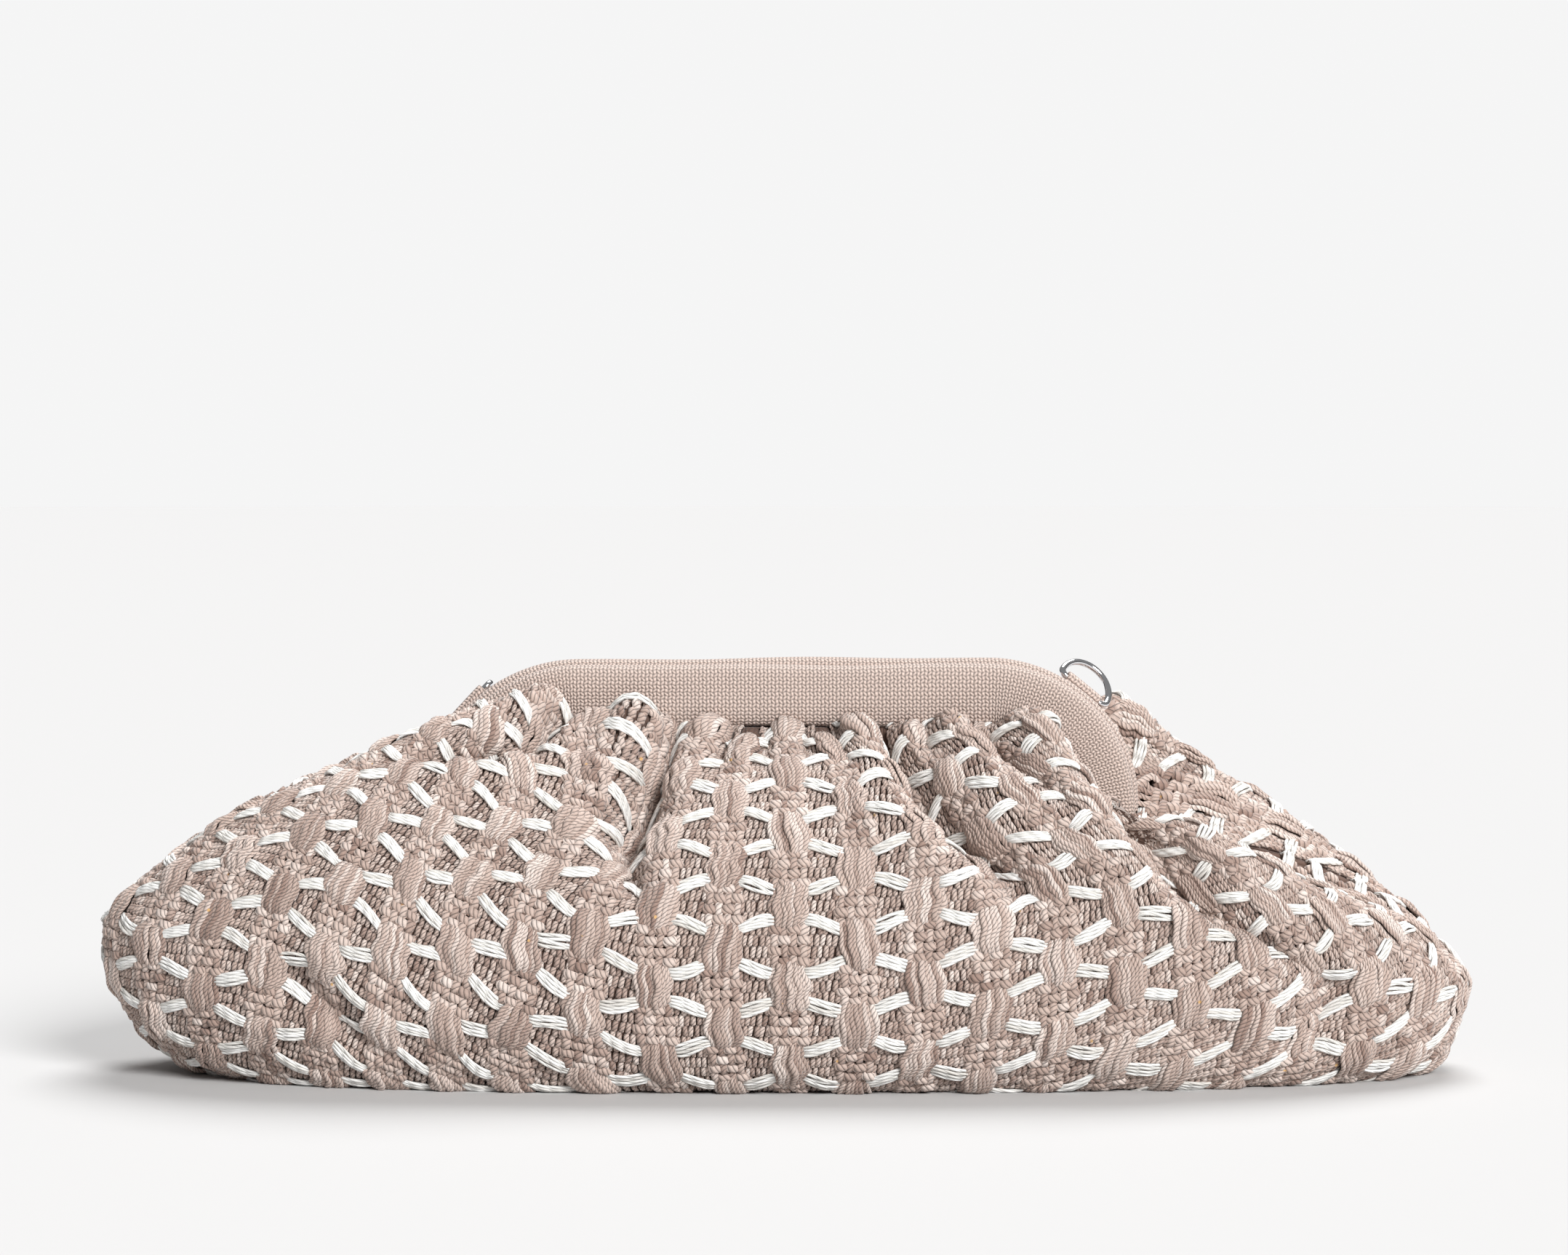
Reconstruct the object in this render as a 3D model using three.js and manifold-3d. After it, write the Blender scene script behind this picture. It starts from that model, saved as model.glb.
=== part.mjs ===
// A gathered pouch clutch: two chunky woven panels gathered onto a hinged two-part purse frame,
// whose halves are hidden in padded canvas casings. Millimetres, +Z up, front towards -Y.
// The origin is on the surface the bag stands on, under the middle of its length and depth.
import * as THREE from "three";
import { mergeVertices } from "three/addons/utils/BufferGeometryUtils.js";
import Module from "manifold-3d";

const wasm = await Module();
wasm.setup();

// Driving sizes of the bag body
const HALF_LENGTH = 206;
const HALF_DEPTH = 60;
const BELLY_HEIGHT = 40;
const LEFT_TIP_HEIGHT = 45;
const RIGHT_TIP_HEIGHT = 31;
const FLOOR_LEFT = 178; // how far the flat bottom reaches each way from the middle
const FLOOR_RIGHT = 190;
const FLOOR_HALF_DEPTH = 45;
const SEAM_SHARE = 0.975; // of the flat bottom's length, for the straight seam along its middle
const PLAN_ROUNDNESS = 2.4; // exponent of the outline seen from above
const PANEL_THICKNESS = 3;
const LINING_THICKNESS = 0.8;
const FOLD_RISE = [0, 0.22]; // shares of the way from the seam to the belly over which the gathers deepen
const FOLD_FADE = [0.68, 0.86]; // shares of the half width over which the gathers stop at the sides
const FOLD_ROUNDNESS = 1.9; // exponent of a gather's section
const REACH_WIDENING = 2.5; // how many times wider the sheets inside a panel follow its gathers
const SEAM_GAP = 0.4; // between sewn layers, and half of it on each side of the middle plane
const SEAM_FORWARD = 2; // how far the gathered seam lies in front of its casing's middle
const LINING_SLACK = 4.4; // how far the lining hangs inside the panel

// How the cloth leaves the gathered seam and arrives at the belly: the pull on the curve's end at the middle
// of the panel, beside the frame and at the side seam. Each is [x, y, z], with x and y in millimetres and
// z as a share of the height from the belly to the casing's top.
const LIFT = { middle: [0, -18, -0.096], side: [2, -23, 0], seam: [14, -1, 0.241] };
const ARRIVE = { middle: [0, 0, 0.398], side: [-25, -7, 0.627], seam: [-26, 0, 0.422] };
const SIDE_SPAN = [0.3, 0.85]; // shares of the half width over which the middle turns into the side
const SEAM_SPAN = [0.87, 1]; // and the side turns into the side seam
const TIP_SPAN = [0.45, 1]; // over which the belly's height turns into the tip's
const SIDE_SHARE = 0.92; // shares past this one run on from the leg's end to the side seam
const BELLY_ROUNDING = 0.6; // how round the lower half is, at the belly and at the flat bottom's edge
const FLOOR_ROUNDING = 0.55;

// The main gathers of each panel. A gather is a line of places down the cloth, each [share of the half width,
// share of the way from the seam to the belly, half width as a share, depth]. A roll stands out, so its depth
// is less than nothing.
const GATHERS = {
  front: [
    [[-0.25, 0, 0.03, 8], [-0.257, 0.3, 0.035, 11], [-0.244, 0.5, 0.045, 12], [-0.19, 0.92, 0.03, 0]],
    [[-0.478, 0, 0.03, 6], [-0.486, 0.28, 0.035, 8], [-0.54, 0.42, 0.045, 7], [-0.66, 0.56, 0.05, 0]],
    [[-0.34, 0, 0.045, -2], [-0.34, 0.3, 0.05, -3], [-0.33, 0.55, 0.06, -3], [-0.3, 0.8, 0.07, 0]],
    [[-0.04, 0, 0.03, 3], [-0.04, 0.2, 0.03, 3], [-0.04, 0.4, 0.03, 0]],
    [[0.165, 0, 0.04, -2], [0.168, 0.4, 0.045, -3], [0.235, 0.72, 0.06, -3], [0.25, 0.95, 0.06, 0]],
    [[0.225, 0, 0.03, 6], [0.245, 0.3, 0.04, 10], [0.265, 0.56, 0.045, 11], [0.315, 0.92, 0.04, 0]],
    [[0.425, 0, 0.025, 5], [0.45, 0.3, 0.03, 6], [0.47, 0.5, 0.03, 0]],
    [[0.5, 0, 0.045, -2], [0.49, 0.4, 0.05, -3], [0.47, 0.75, 0.055, -3], [0.52, 1, 0.07, 0]],
    [[0.6, 0.1, 0.03, 0], [0.585, 0.35, 0.035, 3.5], [0.57, 0.65, 0.045, 7.5], [0.65, 1, 0.04, 0]],
  ],
  back: [
    [[-0.66, 0, 0.03, 4], [-0.66, 0.28, 0.035, 6], [-0.69, 0.77, 0.035, 0]],
    [[-0.5, 0, 0.03, 5], [-0.5, 0.3, 0.035, 8], [-0.53, 0.88, 0.035, 0]],
    [[-0.36, 0, 0.03, 4], [-0.36, 0.26, 0.035, 7], [-0.39, 0.71, 0.035, 0]],
    [[-0.22, 0, 0.03, 6], [-0.22, 0.34, 0.035, 12], [-0.25, 0.93, 0.035, 0]],
    [[-0.07, 0, 0.03, 4], [-0.07, 0.22, 0.035, 6], [-0.1, 0.6, 0.035, 0]],
    [[0.08, 0, 0.03, 5], [0.08, 0.3, 0.035, 9], [0.11, 0.83, 0.035, 0]],
    [[0.21, 0, 0.03, 4], [0.21, 0.22, 0.035, 6], [0.24, 0.6, 0.035, 0]],
    [[0.33, 0, 0.03, 6], [0.33, 0.34, 0.035, 12], [0.36, 0.93, 0.035, 0]],
    [[0.46, 0, 0.03, 4], [0.46, 0.26, 0.035, 7], [0.49, 0.71, 0.035, 0]],
    [[0.6, 0.1, 0.03, 0], [0.6, 0.34, 0.035, 7], [0.63, 0.88, 0.035, 0]],
  ],
};

// How far each sheet puffs up beside the frame, at its left and its right side, as a share of the same height
const PUFF = {
  front: [0.398, 0.048],
  back: [0.398, 0.53],
  front_lining: [0.217, -0.12],
  back_lining: [0.217, 0.289],
};

// Driving sizes of the padded casings
const CASING_TOP = 123;
const CASING_HALF_WIDTH = 106.5;
const CASING_RADIUS = 44;
const CASING_BAND = 17; // how wide the canvas band looks from the front
const CASING_DEPTH = 9;
const CASING_WALL = 1;
const CASING_ROUNDNESS = 3.5; // exponent of the casing's section
const BACK_CASING_RISE = 1.5; // the back casing stands this much prouder than the front one
const CLOSING_GAP = 0.6; // between the two casings when the bag is shut

// Driving sizes of the hinged frame
const BAR_INSET = 7; // from the casing's outer edge to the front bar's outer face
const BAR_THICKNESS = 1.5;
const BAR_DEPTH = 6;
const HINGE_DROP = 51; // from the casings' top down to the hinge
const EAR_RADIUS = 4.5;
const EAR_GAP = 1.2; // between the front and back ears, where the washer sits
const WASHER_THICKNESS = 0.6;
const WASHER_RADIUS = 4;
const RIVET_RADIUS = 1.5;
const RIVET_CLEARANCE = 0.1; // all round the rivet's shank
const RIVET_SIDE_PLAY = 0.3;
const RIVET_HEAD_RADIUS = 3;
const RIVET_HEAD_THICKNESS = 1;
const RIVET_HEAD_FLAT = 0.7; // share of the head's radius that is flat
const LEG_CLEARANCE = 1.5; // from the ears up to the casings' open ends
const HINGE_ROOM = 2.5; // how far the cloth stays under the ears

// Driving sizes of what else the casings hold
const PADDING_HEIGHT = 4.6;
const PADDING_DEPTH = 4;
const PADDING_CLEARANCE = 0.5;
const PADDING_ROUNDNESS = 3;
const MAGNET_LENGTH = 20;
const MAGNET_HEIGHT = 4;
const MAGNET_THICKNESS = 1.8;
const MAGNET_SPACING = 70; // centre to centre along each casing
const MAGNET_CLEARANCE = 0.4; // under the frame bar
const MAGNET_SIDE_GAP = 1.7; // to the casing's wall

// Driving sizes of the strap rings and the canvas tabs that hold them
const RING_INNER_WIDTH = 15;
const RING_HEIGHT = 11.5; // from the straight bar's middle to the bow's middle
const WIRE_RADIUS = 1;
const RING_CORNER_RADIUS = 2;
const TAB_WIDTH = 13;
const TAB_PLY = 1;
const LEFT_TAB_ANGLE = 43; // where each tab stands on the casing's round corner, in degrees above level
const RIGHT_TAB_ANGLE = 51;
const TAB_RISE = 1.8; // from the front casing's outer edge out to the ring's bar
const TAB_TAIL = 10; // how far the tab runs down the back casing's rear face
const RING_CLEARANCE = 0.1; // all round the ring's bar in its tab
const LEFT_RING_LEAN = 92; // degrees that each ring leans back from the plane of the frame
const RIGHT_RING_LEAN = 51;

// Driving sizes of the slip pocket and the stay tapes
const POCKET_COLUMNS = 14; // of the lining's columns
const POCKET_FROM_ROW = 2; // of the lining's rows, from the mouth to the foot
const POCKET_TO_ROW = 6;
const POCKET_BELLY = 12; // how far the pocket's mouth stands open
const POCKET_THICKNESS = 0.8;
const TAPE_THICKNESS = 0.8;
const TAPE_SLACK = 1.2; // how far the tape lies inside the panel
const TAPE_ROWS = [0.03, 0.14]; // shares of the way from the gathered seam to the belly
const TAPE_REACH = 0.84; // share of the panel's half width
const TAPE_COLUMNS = 52;

// How finely the curved surfaces are cut
const PANEL_COLUMNS = 84;
const PANEL_ROWS = [12, 3, 2]; // seam to belly, belly to floor, along the floor
const LINING_COLUMNS = 42;
const LINING_ROWS = [6, 3, 2];
const LINING_START = 0.06; // share of the way down at which the lining begins
const CORNER_STEPS = 9;
const SECTION_SIDES = 16;
const PADDING_SIDES = 8;
const OUTLINE_STEPS = 400;
const RING_STEPS = 12;
const RING_CORNER_STEPS = 4;
const TAB_STEPS = 8;
const WIRE_SIDES = 8;
const ROUND_SIDES = 24;

const COLOURS = {
  woven: 0xc4a89f,
  canvas: 0xd0b3a8,
  lining: 0xd9cbbf,
  steel: 0x9a9a9c,
  foam: 0xe9e6df,
  magnet: 0x6f7073,
  nickel: 0xd8d9dc,
  tape: 0xe6ddd2,
};

const FINISH = {
  woven: { roughness: 0.95, metalness: 0 },
  canvas: { roughness: 0.9, metalness: 0 },
  lining: { roughness: 0.85, metalness: 0 },
  steel: { roughness: 0.45, metalness: 1 },
  foam: { roughness: 1, metalness: 0 },
  magnet: { roughness: 0.4, metalness: 1 },
  nickel: { roughness: 0.12, metalness: 1 },
  tape: { roughness: 0.9, metalness: 0 },
};

const cornerX = CASING_HALF_WIDTH - CASING_RADIUS;
const cornerZ = CASING_TOP - CASING_RADIUS;
const hingeHeight = CASING_TOP - HINGE_DROP;
const legEnd = hingeHeight + EAR_RADIUS + LEG_CLEARANCE;
const clothRise = CASING_TOP - BELLY_HEIGHT;
const casingMiddle = (CASING_DEPTH + CLOSING_GAP) / 2; // distance of a casing's middle from Y = 0
const bag = new THREE.Group();

const mix = (a, b, t) => a + (b - a) * t;

// Rises smoothly from 0 to 1 while the value crosses a span.
function between([from, to], value) {
  const t = Math.min(1, Math.max(0, (value - from) / (to - from)));
  return t * t * (3 - 2 * t);
}

// Adds a named mesh in one of the bag's materials.
function add(name, geometry, kind) {
  const material = new THREE.MeshStandardMaterial({ color: COLOURS[kind], ...FINISH[kind] });
  const mesh = new THREE.Mesh(geometry, material);
  mesh.name = name;
  bag.add(mesh);
  return mesh;
}

// Turns a closed geometry into a solid that can be cut or joined.
function solid(geometry) {
  const plain = geometry.clone();
  plain.deleteAttribute("normal");
  plain.deleteAttribute("uv");
  const merged = mergeVertices(plain, 1e-4);
  return new wasm.Manifold(
    new wasm.Mesh({
      numProp: 3,
      vertProperties: new Float32Array(merged.attributes.position.array),
      triVerts: new Uint32Array(merged.index.array),
    }),
  );
}

// Turns a cut or joined solid back into a geometry.
function geometryOf(made) {
  const mesh = made.getMesh();
  const geometry = new THREE.BufferGeometry();
  geometry.setAttribute("position", new THREE.BufferAttribute(mesh.vertProperties, 3));
  geometry.setIndex(new THREE.BufferAttribute(mesh.triVerts, 1));
  geometry.computeVertexNormals();
  return geometry;
}

// Builds an indexed geometry from points and faces of three or four corners.
function surface(points, faces) {
  const index = [];
  for (const f of faces) {
    index.push(f[0], f[1], f[2]);
    if (f.length === 4) index.push(f[0], f[2], f[3]);
  }
  const geometry = new THREE.BufferGeometry();
  geometry.setAttribute("position", new THREE.Float32BufferAttribute(points.flat(), 3));
  geometry.setIndex(index);
  geometry.computeVertexNormals();
  return geometry;
}

// Closes a grid of outer points and its matching inner points into one curved wall.
function wall(outer, inner, flip) {
  const rows = outer.length;
  const columns = outer[0].length;
  const points = [...outer.flat(), ...inner.flat()];
  const shift = rows * columns;
  const at = (i, j) => i * columns + j;
  const faces = [];
  const quad = (a, b, c, d) => faces.push(flip ? [d, c, b, a] : [a, b, c, d]);
  for (let i = 0; i + 1 < rows; i++) {
    for (let j = 0; j + 1 < columns; j++) {
      quad(at(i, j), at(i + 1, j), at(i + 1, j + 1), at(i, j + 1));
      quad(at(i, j) + shift, at(i, j + 1) + shift, at(i + 1, j + 1) + shift, at(i + 1, j) + shift);
    }
  }
  for (let j = 0; j + 1 < columns; j++) {
    quad(at(0, j), at(0, j + 1), at(0, j + 1) + shift, at(0, j) + shift);
    const low = rows - 1;
    quad(at(low, j), at(low, j) + shift, at(low, j + 1) + shift, at(low, j + 1));
  }
  for (let i = 0; i + 1 < rows; i++) {
    quad(at(i, 0), at(i, 0) + shift, at(i + 1, 0) + shift, at(i + 1, 0));
    const end = columns - 1;
    quad(at(i, end), at(i + 1, end), at(i + 1, end) + shift, at(i, end) + shift);
  }
  return surface(points, faces);
}

// The casing's path in the XZ plane, from the left leg's end over the top to the right leg's end.
// inset is measured inwards from the front casing's outer edge, and foot is where the legs end.
function hoop(inset, foot) {
  const radius = CASING_RADIUS - inset;
  const points = [{ x: -(cornerX + radius), z: foot }];
  for (const side of [-1, 1]) {
    for (let i = 0; i <= CORNER_STEPS; i++) {
      const past = (i / CORNER_STEPS) * (Math.PI / 2);
      const angle = side < 0 ? Math.PI - past : Math.PI / 2 - past;
      const [x, z] = [radius * Math.cos(angle), radius * Math.sin(angle)];
      points.push({ x: side * cornerX + x, z: cornerZ + z });
    }
  }
  points.push({ x: cornerX + radius, z: foot });
  return points;
}

// The body's shape. share runs from -1 at the left side seam to 1 at the right one. down runs from 0 at the
// gathered seam to 1 at the belly, 2 at the edge of the flat bottom and 3 at the seam along its middle.
// Every point is worked out for the front of the bag, and turned about for the back.

// Arc lengths along the outline seen from above, so that equal shares are equal widths of cloth.
const outline = [];
for (let i = 0; i <= OUTLINE_STEPS; i++) {
  const angle = (i / OUTLINE_STEPS) * (Math.PI / 2);
  const x = HALF_LENGTH * Math.pow(Math.sin(angle), 2 / PLAN_ROUNDNESS);
  const y = HALF_DEPTH * Math.pow(Math.cos(angle), 2 / PLAN_ROUNDNESS);
  const last = outline[i - 1];
  const length = last ? last.length + Math.hypot(x - last.x, y - last.y) : 0;
  outline.push({ x, y, length });
}
const halfCloth = outline[OUTLINE_STEPS].length;

// The widest point's plan position, as shares of the half length and half depth.
function planAt(share) {
  const wanted = Math.abs(share) * halfCloth;
  let i = 1;
  while (i < OUTLINE_STEPS && outline[i].length < wanted) i++;
  const [a, b] = [outline[i - 1], outline[i]];
  const t = (wanted - a.length) / (b.length - a.length);
  return [(Math.sign(share) * mix(a.x, b.x, t)) / HALF_LENGTH, mix(a.y, b.y, t) / HALF_DEPTH];
}

// The gathered seam: along the casing's inner edge, then on to the side seam under the hinge.
const seamFoot = hingeHeight - EAR_RADIUS - HINGE_ROOM;
const seamPath = hoop(CASING_BAND + SEAM_GAP, seamFoot);
const sideSeamTop = new THREE.Vector3(CASING_HALF_WIDTH, 0, seamFoot - 2 * HINGE_ROOM);
const seamPoints = [
  new THREE.Vector3(-sideSeamTop.x, 0, sideSeamTop.z),
  ...seamPath.map((p) => new THREE.Vector3(p.x, -(casingMiddle + SEAM_FORWARD), p.z)),
  sideSeamTop.clone(),
];
const seamCurve = new THREE.CurvePath();
for (let i = 0; i + 1 < seamPoints.length; i++) {
  seamCurve.add(new THREE.LineCurve3(seamPoints[i], seamPoints[i + 1]));
}
const endLength = seamPoints[0].distanceTo(seamPoints[1]);
const seamLength = seamCurve.getLength();

function seamAt(share) {
  const size = Math.abs(share);
  const hoopHalf = seamLength / 2 - endLength;
  const along =
    size < SIDE_SHARE
      ? (size / SIDE_SHARE) * hoopHalf
      : hoopHalf + ((size - SIDE_SHARE) / (1 - SIDE_SHARE)) * endLength;
  return seamCurve.getPoint(0.5 + (Math.sign(share) * along) / seamLength);
}

// The pull on a profile's end at a share: one value at the middle, one at the sides and one at the side seam.
function blended(table, share, puff) {
  const size = Math.abs(share);
  const toSide = between(SIDE_SPAN, size);
  const toSeam = between(SEAM_SPAN, size);
  const side = [table.side[0], table.side[1], table.side[2] + puff];
  const v = [0, 1, 2].map((k) => mix(mix(table.middle[k], side[k], toSide), table.seam[k], toSeam));
  return new THREE.Vector3(v[0] * (Math.sign(share) || 1), v[1], v[2] * clothRise);
}

// The profile's three stretches at a share: seam to belly, belly to floor, floor to bottom seam.
function profileAt(share, sheetName) {
  const [px, py] = planAt(share);
  const tip = share < 0 ? LEFT_TIP_HEIGHT : RIGHT_TIP_HEIGHT;
  const reach = share < 0 ? FLOOR_LEFT : FLOOR_RIGHT;
  const puff = PUFF[sheetName][share < 0 ? 0 : 1];
  const bellyZ = mix(BELLY_HEIGHT, tip, between(TIP_SPAN, Math.abs(share)));
  const top = seamAt(share);
  const belly = new THREE.Vector3(px * HALF_LENGTH, -py * HALF_DEPTH, bellyZ);
  const floor = new THREE.Vector3(px * reach, -py * FLOOR_HALF_DEPTH, 0);
  const seam = new THREE.Vector3(px * reach * SEAM_SHARE, 0, 0);
  const upper = new THREE.CubicBezierCurve3(
    top,
    top.clone().add(blended(LIFT, share, puff)),
    belly.clone().add(blended(ARRIVE, share, 0)),
    belly,
  );
  const lower = new THREE.CubicBezierCurve3(
    belly,
    belly.clone().setZ(bellyZ * (1 - BELLY_ROUNDING)),
    floor.clone().lerp(belly, FLOOR_ROUNDING).setZ(0),
    floor,
  );
  return [upper, lower, new THREE.LineCurve3(floor, seam)];
}

// A point of the smooth body. down is 0 to 1 on the upper stretch, 1 to 2 on the lower, 2 to 3 on the floor.
function bodyPoint(share, down, sheetName) {
  const stretch = Math.min(2, Math.floor(down));
  return profileAt(share, sheetName)[stretch].getPoint(down - stretch);
}

// The body's outward normal.
const STEP = 1e-3;
function bodyNormal(share, down, sheetName) {
  const inside = Math.min(1 - STEP, Math.max(-1 + STEP, share));
  const base = Math.floor(Math.min(down, 2.999));
  const d = Math.min(base + 1 - 2 * STEP, Math.max(base + STEP, down));
  const across = bodyPoint(inside + STEP, d, sheetName).sub(bodyPoint(inside - STEP, d, sheetName));
  const along = bodyPoint(inside, d + STEP, sheetName).sub(bodyPoint(inside, d - STEP, sheetName));
  if (down >= 2) return new THREE.Vector3(0, 0, -1);
  const normal = along.cross(across).normalize();
  if (Math.abs(share) > 1 - STEP) normal.setY(0).normalize();
  return normal;
}

// A gather at a way down the cloth: where its line lies, its half width and its depth there.
function gatherAt(line, down) {
  let i = 1;
  while (i < line.length - 1 && line[i][1] < down) i++;
  const [a, b] = [line[i - 1], line[i]];
  const t = Math.min(1, Math.max(0, (down - a[1]) / (b[1] - a[1])));
  return { share: mix(a[0], b[0], t), width: mix(a[2], b[2], t), depth: mix(a[3], b[3], t) };
}

// How far the gathers let the cloth rise or sink: nothing at the seam and towards the side seams.
const foldFade = (share, down) => between(FOLD_RISE, down) * (1 - between(FOLD_FADE, Math.abs(share)));

// How deep a panel's gathers are at a place: each one's depth, fading away to both sides of its line.
function foldAt(share, down, side) {
  let depth = 0;
  for (const line of GATHERS[side]) {
    const here = gatherAt(line, down);
    depth += here.depth * Math.exp(-(Math.abs((share - here.share) / here.width) ** FOLD_ROUNDNESS));
  }
  return depth * foldFade(share, down);
}

// How deep the sheets inside a panel hang to clear its gathers: the deepest of them, each made wider.
function foldReach(share, down, side) {
  const reaches = GATHERS[side].map((line) => {
    const here = gatherAt(line, down);
    return here.depth * Math.exp(-(((share - here.share) / (here.width * REACH_WIDENING)) ** 2));
  });
  return Math.max(0, ...reaches) * foldFade(share, down);
}

// A sheet that follows a panel at a depth under its surface. sides holds the shares it runs between,
// and downs its rows.
function sheetPoints(columns, sides, downs, depthAt, sheetName) {
  const side = sheetName.split("_")[0];
  return downs.map((down) => {
    const row = [];
    for (let j = 0; j <= columns; j++) {
      const share = mix(sides[0], sides[1], j / columns);
      const point = bodyPoint(share, down, sheetName);
      point.addScaledVector(bodyNormal(share, down, sheetName), -depthAt(share, down, side));
      if (Math.abs(share) === 1 || down === 3) point.setY(-SEAM_GAP / 2);
      point.setY(Math.min(point.y, -SEAM_GAP / 2));
      row.push(point.toArray());
    }
    return row;
  });
}

// The same sheet for the back of the bag.
const turned = (grid) => grid.map((row) => row.map(([x, y, z]) => [x, -y, z]));

function sheet(columns, sides, downs, depthAt, thickness, sheetName) {
  const outer = sheetPoints(columns, sides, downs, depthAt, sheetName);
  const inner = sheetPoints(columns, sides, downs, (...place) => depthAt(...place) + thickness, sheetName);
  const back = sheetName.startsWith("back");
  return back ? wall(turned(outer), turned(inner), true) : wall(outer, inner, false);
}

// Rows for the panel and for the linings.
function rowsOf(counts, first) {
  const rows = [];
  counts.forEach((count, stretch) => {
    for (let i = 0; i < count; i++) rows.push(stretch + i / count);
  });
  rows.push(counts.length);
  rows[0] = first;
  return rows;
}

const liningRows = rowsOf(LINING_ROWS, LINING_START);
const liningDepth = (...place) => PANEL_THICKNESS + LINING_SLACK + foldReach(...place);

for (const side of ["front", "back"]) {
  const whole = [-1, 1];
  const panelRows = rowsOf(PANEL_ROWS, 0);
  add(`${side}_panel`, sheet(PANEL_COLUMNS, whole, panelRows, foldAt, PANEL_THICKNESS, side), "woven");
  const name = `${side}_lining`;
  add(name, sheet(LINING_COLUMNS, whole, liningRows, liningDepth, LINING_THICKNESS, name), "lining");
}

// A cotton tape inside each panel that holds its gathers, just under the seam.
const tapeDepth = (...place) => PANEL_THICKNESS + TAPE_SLACK + foldReach(...place);
for (const side of ["front", "back"]) {
  const sides = [-TAPE_REACH, TAPE_REACH];
  add(`${side}_stay_tape`, sheet(TAPE_COLUMNS, sides, TAPE_ROWS, tapeDepth, TAPE_THICKNESS, side), "tape");
}

// The slip pocket on the back lining, open along its top edge.
const pocketHalf = POCKET_COLUMNS / LINING_COLUMNS;
const pocketRows = liningRows.slice(POCKET_FROM_ROW, POCKET_TO_ROW + 1);
function pocketDepth(share, down, side) {
  const across = Math.cos((share / pocketHalf) * (Math.PI / 2));
  const open = (pocketRows.at(-1) - down) / (pocketRows.at(-1) - pocketRows[0]);
  const seam = liningDepth(share, down, side) + LINING_THICKNESS + SEAM_GAP;
  return seam + POCKET_BELLY * Math.sqrt(Math.max(0, across)) * open;
}
const pocketSides = [-pocketHalf, pocketHalf];
const pocket = sheet(POCKET_COLUMNS, pocketSides, pocketRows, pocketDepth, POCKET_THICKNESS, "back_lining");
add("slip_pocket", pocket, "lining");

// A closed section swept along the hoop. Each section point is [inset from the outer edge, y].
function sweep(section, foot, middle) {
  const paths = section.map(([inset]) => hoop(inset, foot));
  const steps = paths[0].length;
  const sides = section.length;
  const points = [];
  for (let i = 0; i < steps; i++) {
    for (let k = 0; k < sides; k++) points.push([paths[k][i].x, middle + section[k][1], paths[k][i].z]);
  }
  return { points, steps, sides };
}

// A superellipse section between two insets, as wide in Y as depth.
function roundSection(from, to, depth, roundness, sides) {
  const centre = (from + to) / 2;
  const half = (to - from) / 2;
  return Array.from({ length: sides }, (_, k) => {
    const angle = ((k + 0.5) / sides) * Math.PI * 2;
    const [c, s] = [Math.cos(angle), Math.sin(angle)];
    const r = Math.pow(Math.abs(c) ** roundness + Math.abs(s) ** roundness, -1 / roundness);
    return [centre + half * r * c, (depth / 2) * r * s];
  });
}

// The faces of a swept section's side. flip turns them to face into the section.
function sideFaces({ steps, sides }, start, flip) {
  const faces = [];
  for (let i = 0; i + 1 < steps; i++) {
    for (let k = 0; k < sides; k++) {
      const next = (k + 1) % sides;
      const [a, b] = [start + i * sides + k, start + i * sides + next];
      const quad = [a, b, b + sides, a + sides];
      faces.push(flip ? quad.reverse() : quad);
    }
  }
  return faces;
}

// A canvas sleeve round the hoop, open at both leg ends.
function sleeve(rise, middle) {
  const outerSection = roundSection(-rise, CASING_BAND, CASING_DEPTH, CASING_ROUNDNESS, SECTION_SIDES);
  const innerSection = roundSection(
    CASING_WALL - rise,
    CASING_BAND - CASING_WALL,
    CASING_DEPTH - 2 * CASING_WALL,
    CASING_ROUNDNESS,
    SECTION_SIDES,
  );
  const outer = sweep(outerSection, legEnd, middle);
  const inner = sweep(innerSection, legEnd, middle);
  const shift = outer.points.length;
  const faces = [...sideFaces(outer, 0, false), ...sideFaces(inner, shift, true)];
  const last = (outer.steps - 1) * outer.sides;
  for (let k = 0; k < outer.sides; k++) {
    const next = (k + 1) % outer.sides;
    faces.push([next, k, k + shift, next + shift]);
    faces.push([last + k, last + next, last + next + shift, last + k + shift]);
  }
  return surface([...outer.points, ...inner.points], faces);
}

// A solid strip along the hoop, closed at both ends.
function strip(section, foot, middle) {
  const swept = sweep(section, foot, middle);
  const { steps, sides } = swept;
  const faces = sideFaces(swept, 0, false);
  for (let k = 1; k + 1 < sides; k++) {
    faces.push([0, k + 1, k]);
    faces.push([(steps - 1) * sides, (steps - 1) * sides + k, (steps - 1) * sides + k + 1]);
  }
  return surface(swept.points, faces);
}

const boxSection = (from, to, depth) => [
  [from, -depth / 2],
  [to, -depth / 2],
  [to, depth / 2],
  [from, depth / 2],
];

// A cylinder that points along X, with its middle at a place.
function crossPin(radius, length, x, y, z) {
  const geometry = new THREE.CylinderGeometry(radius, radius, length, ROUND_SIDES);
  geometry.rotateZ(Math.PI / 2);
  geometry.translate(x, y, z);
  return geometry;
}

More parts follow.
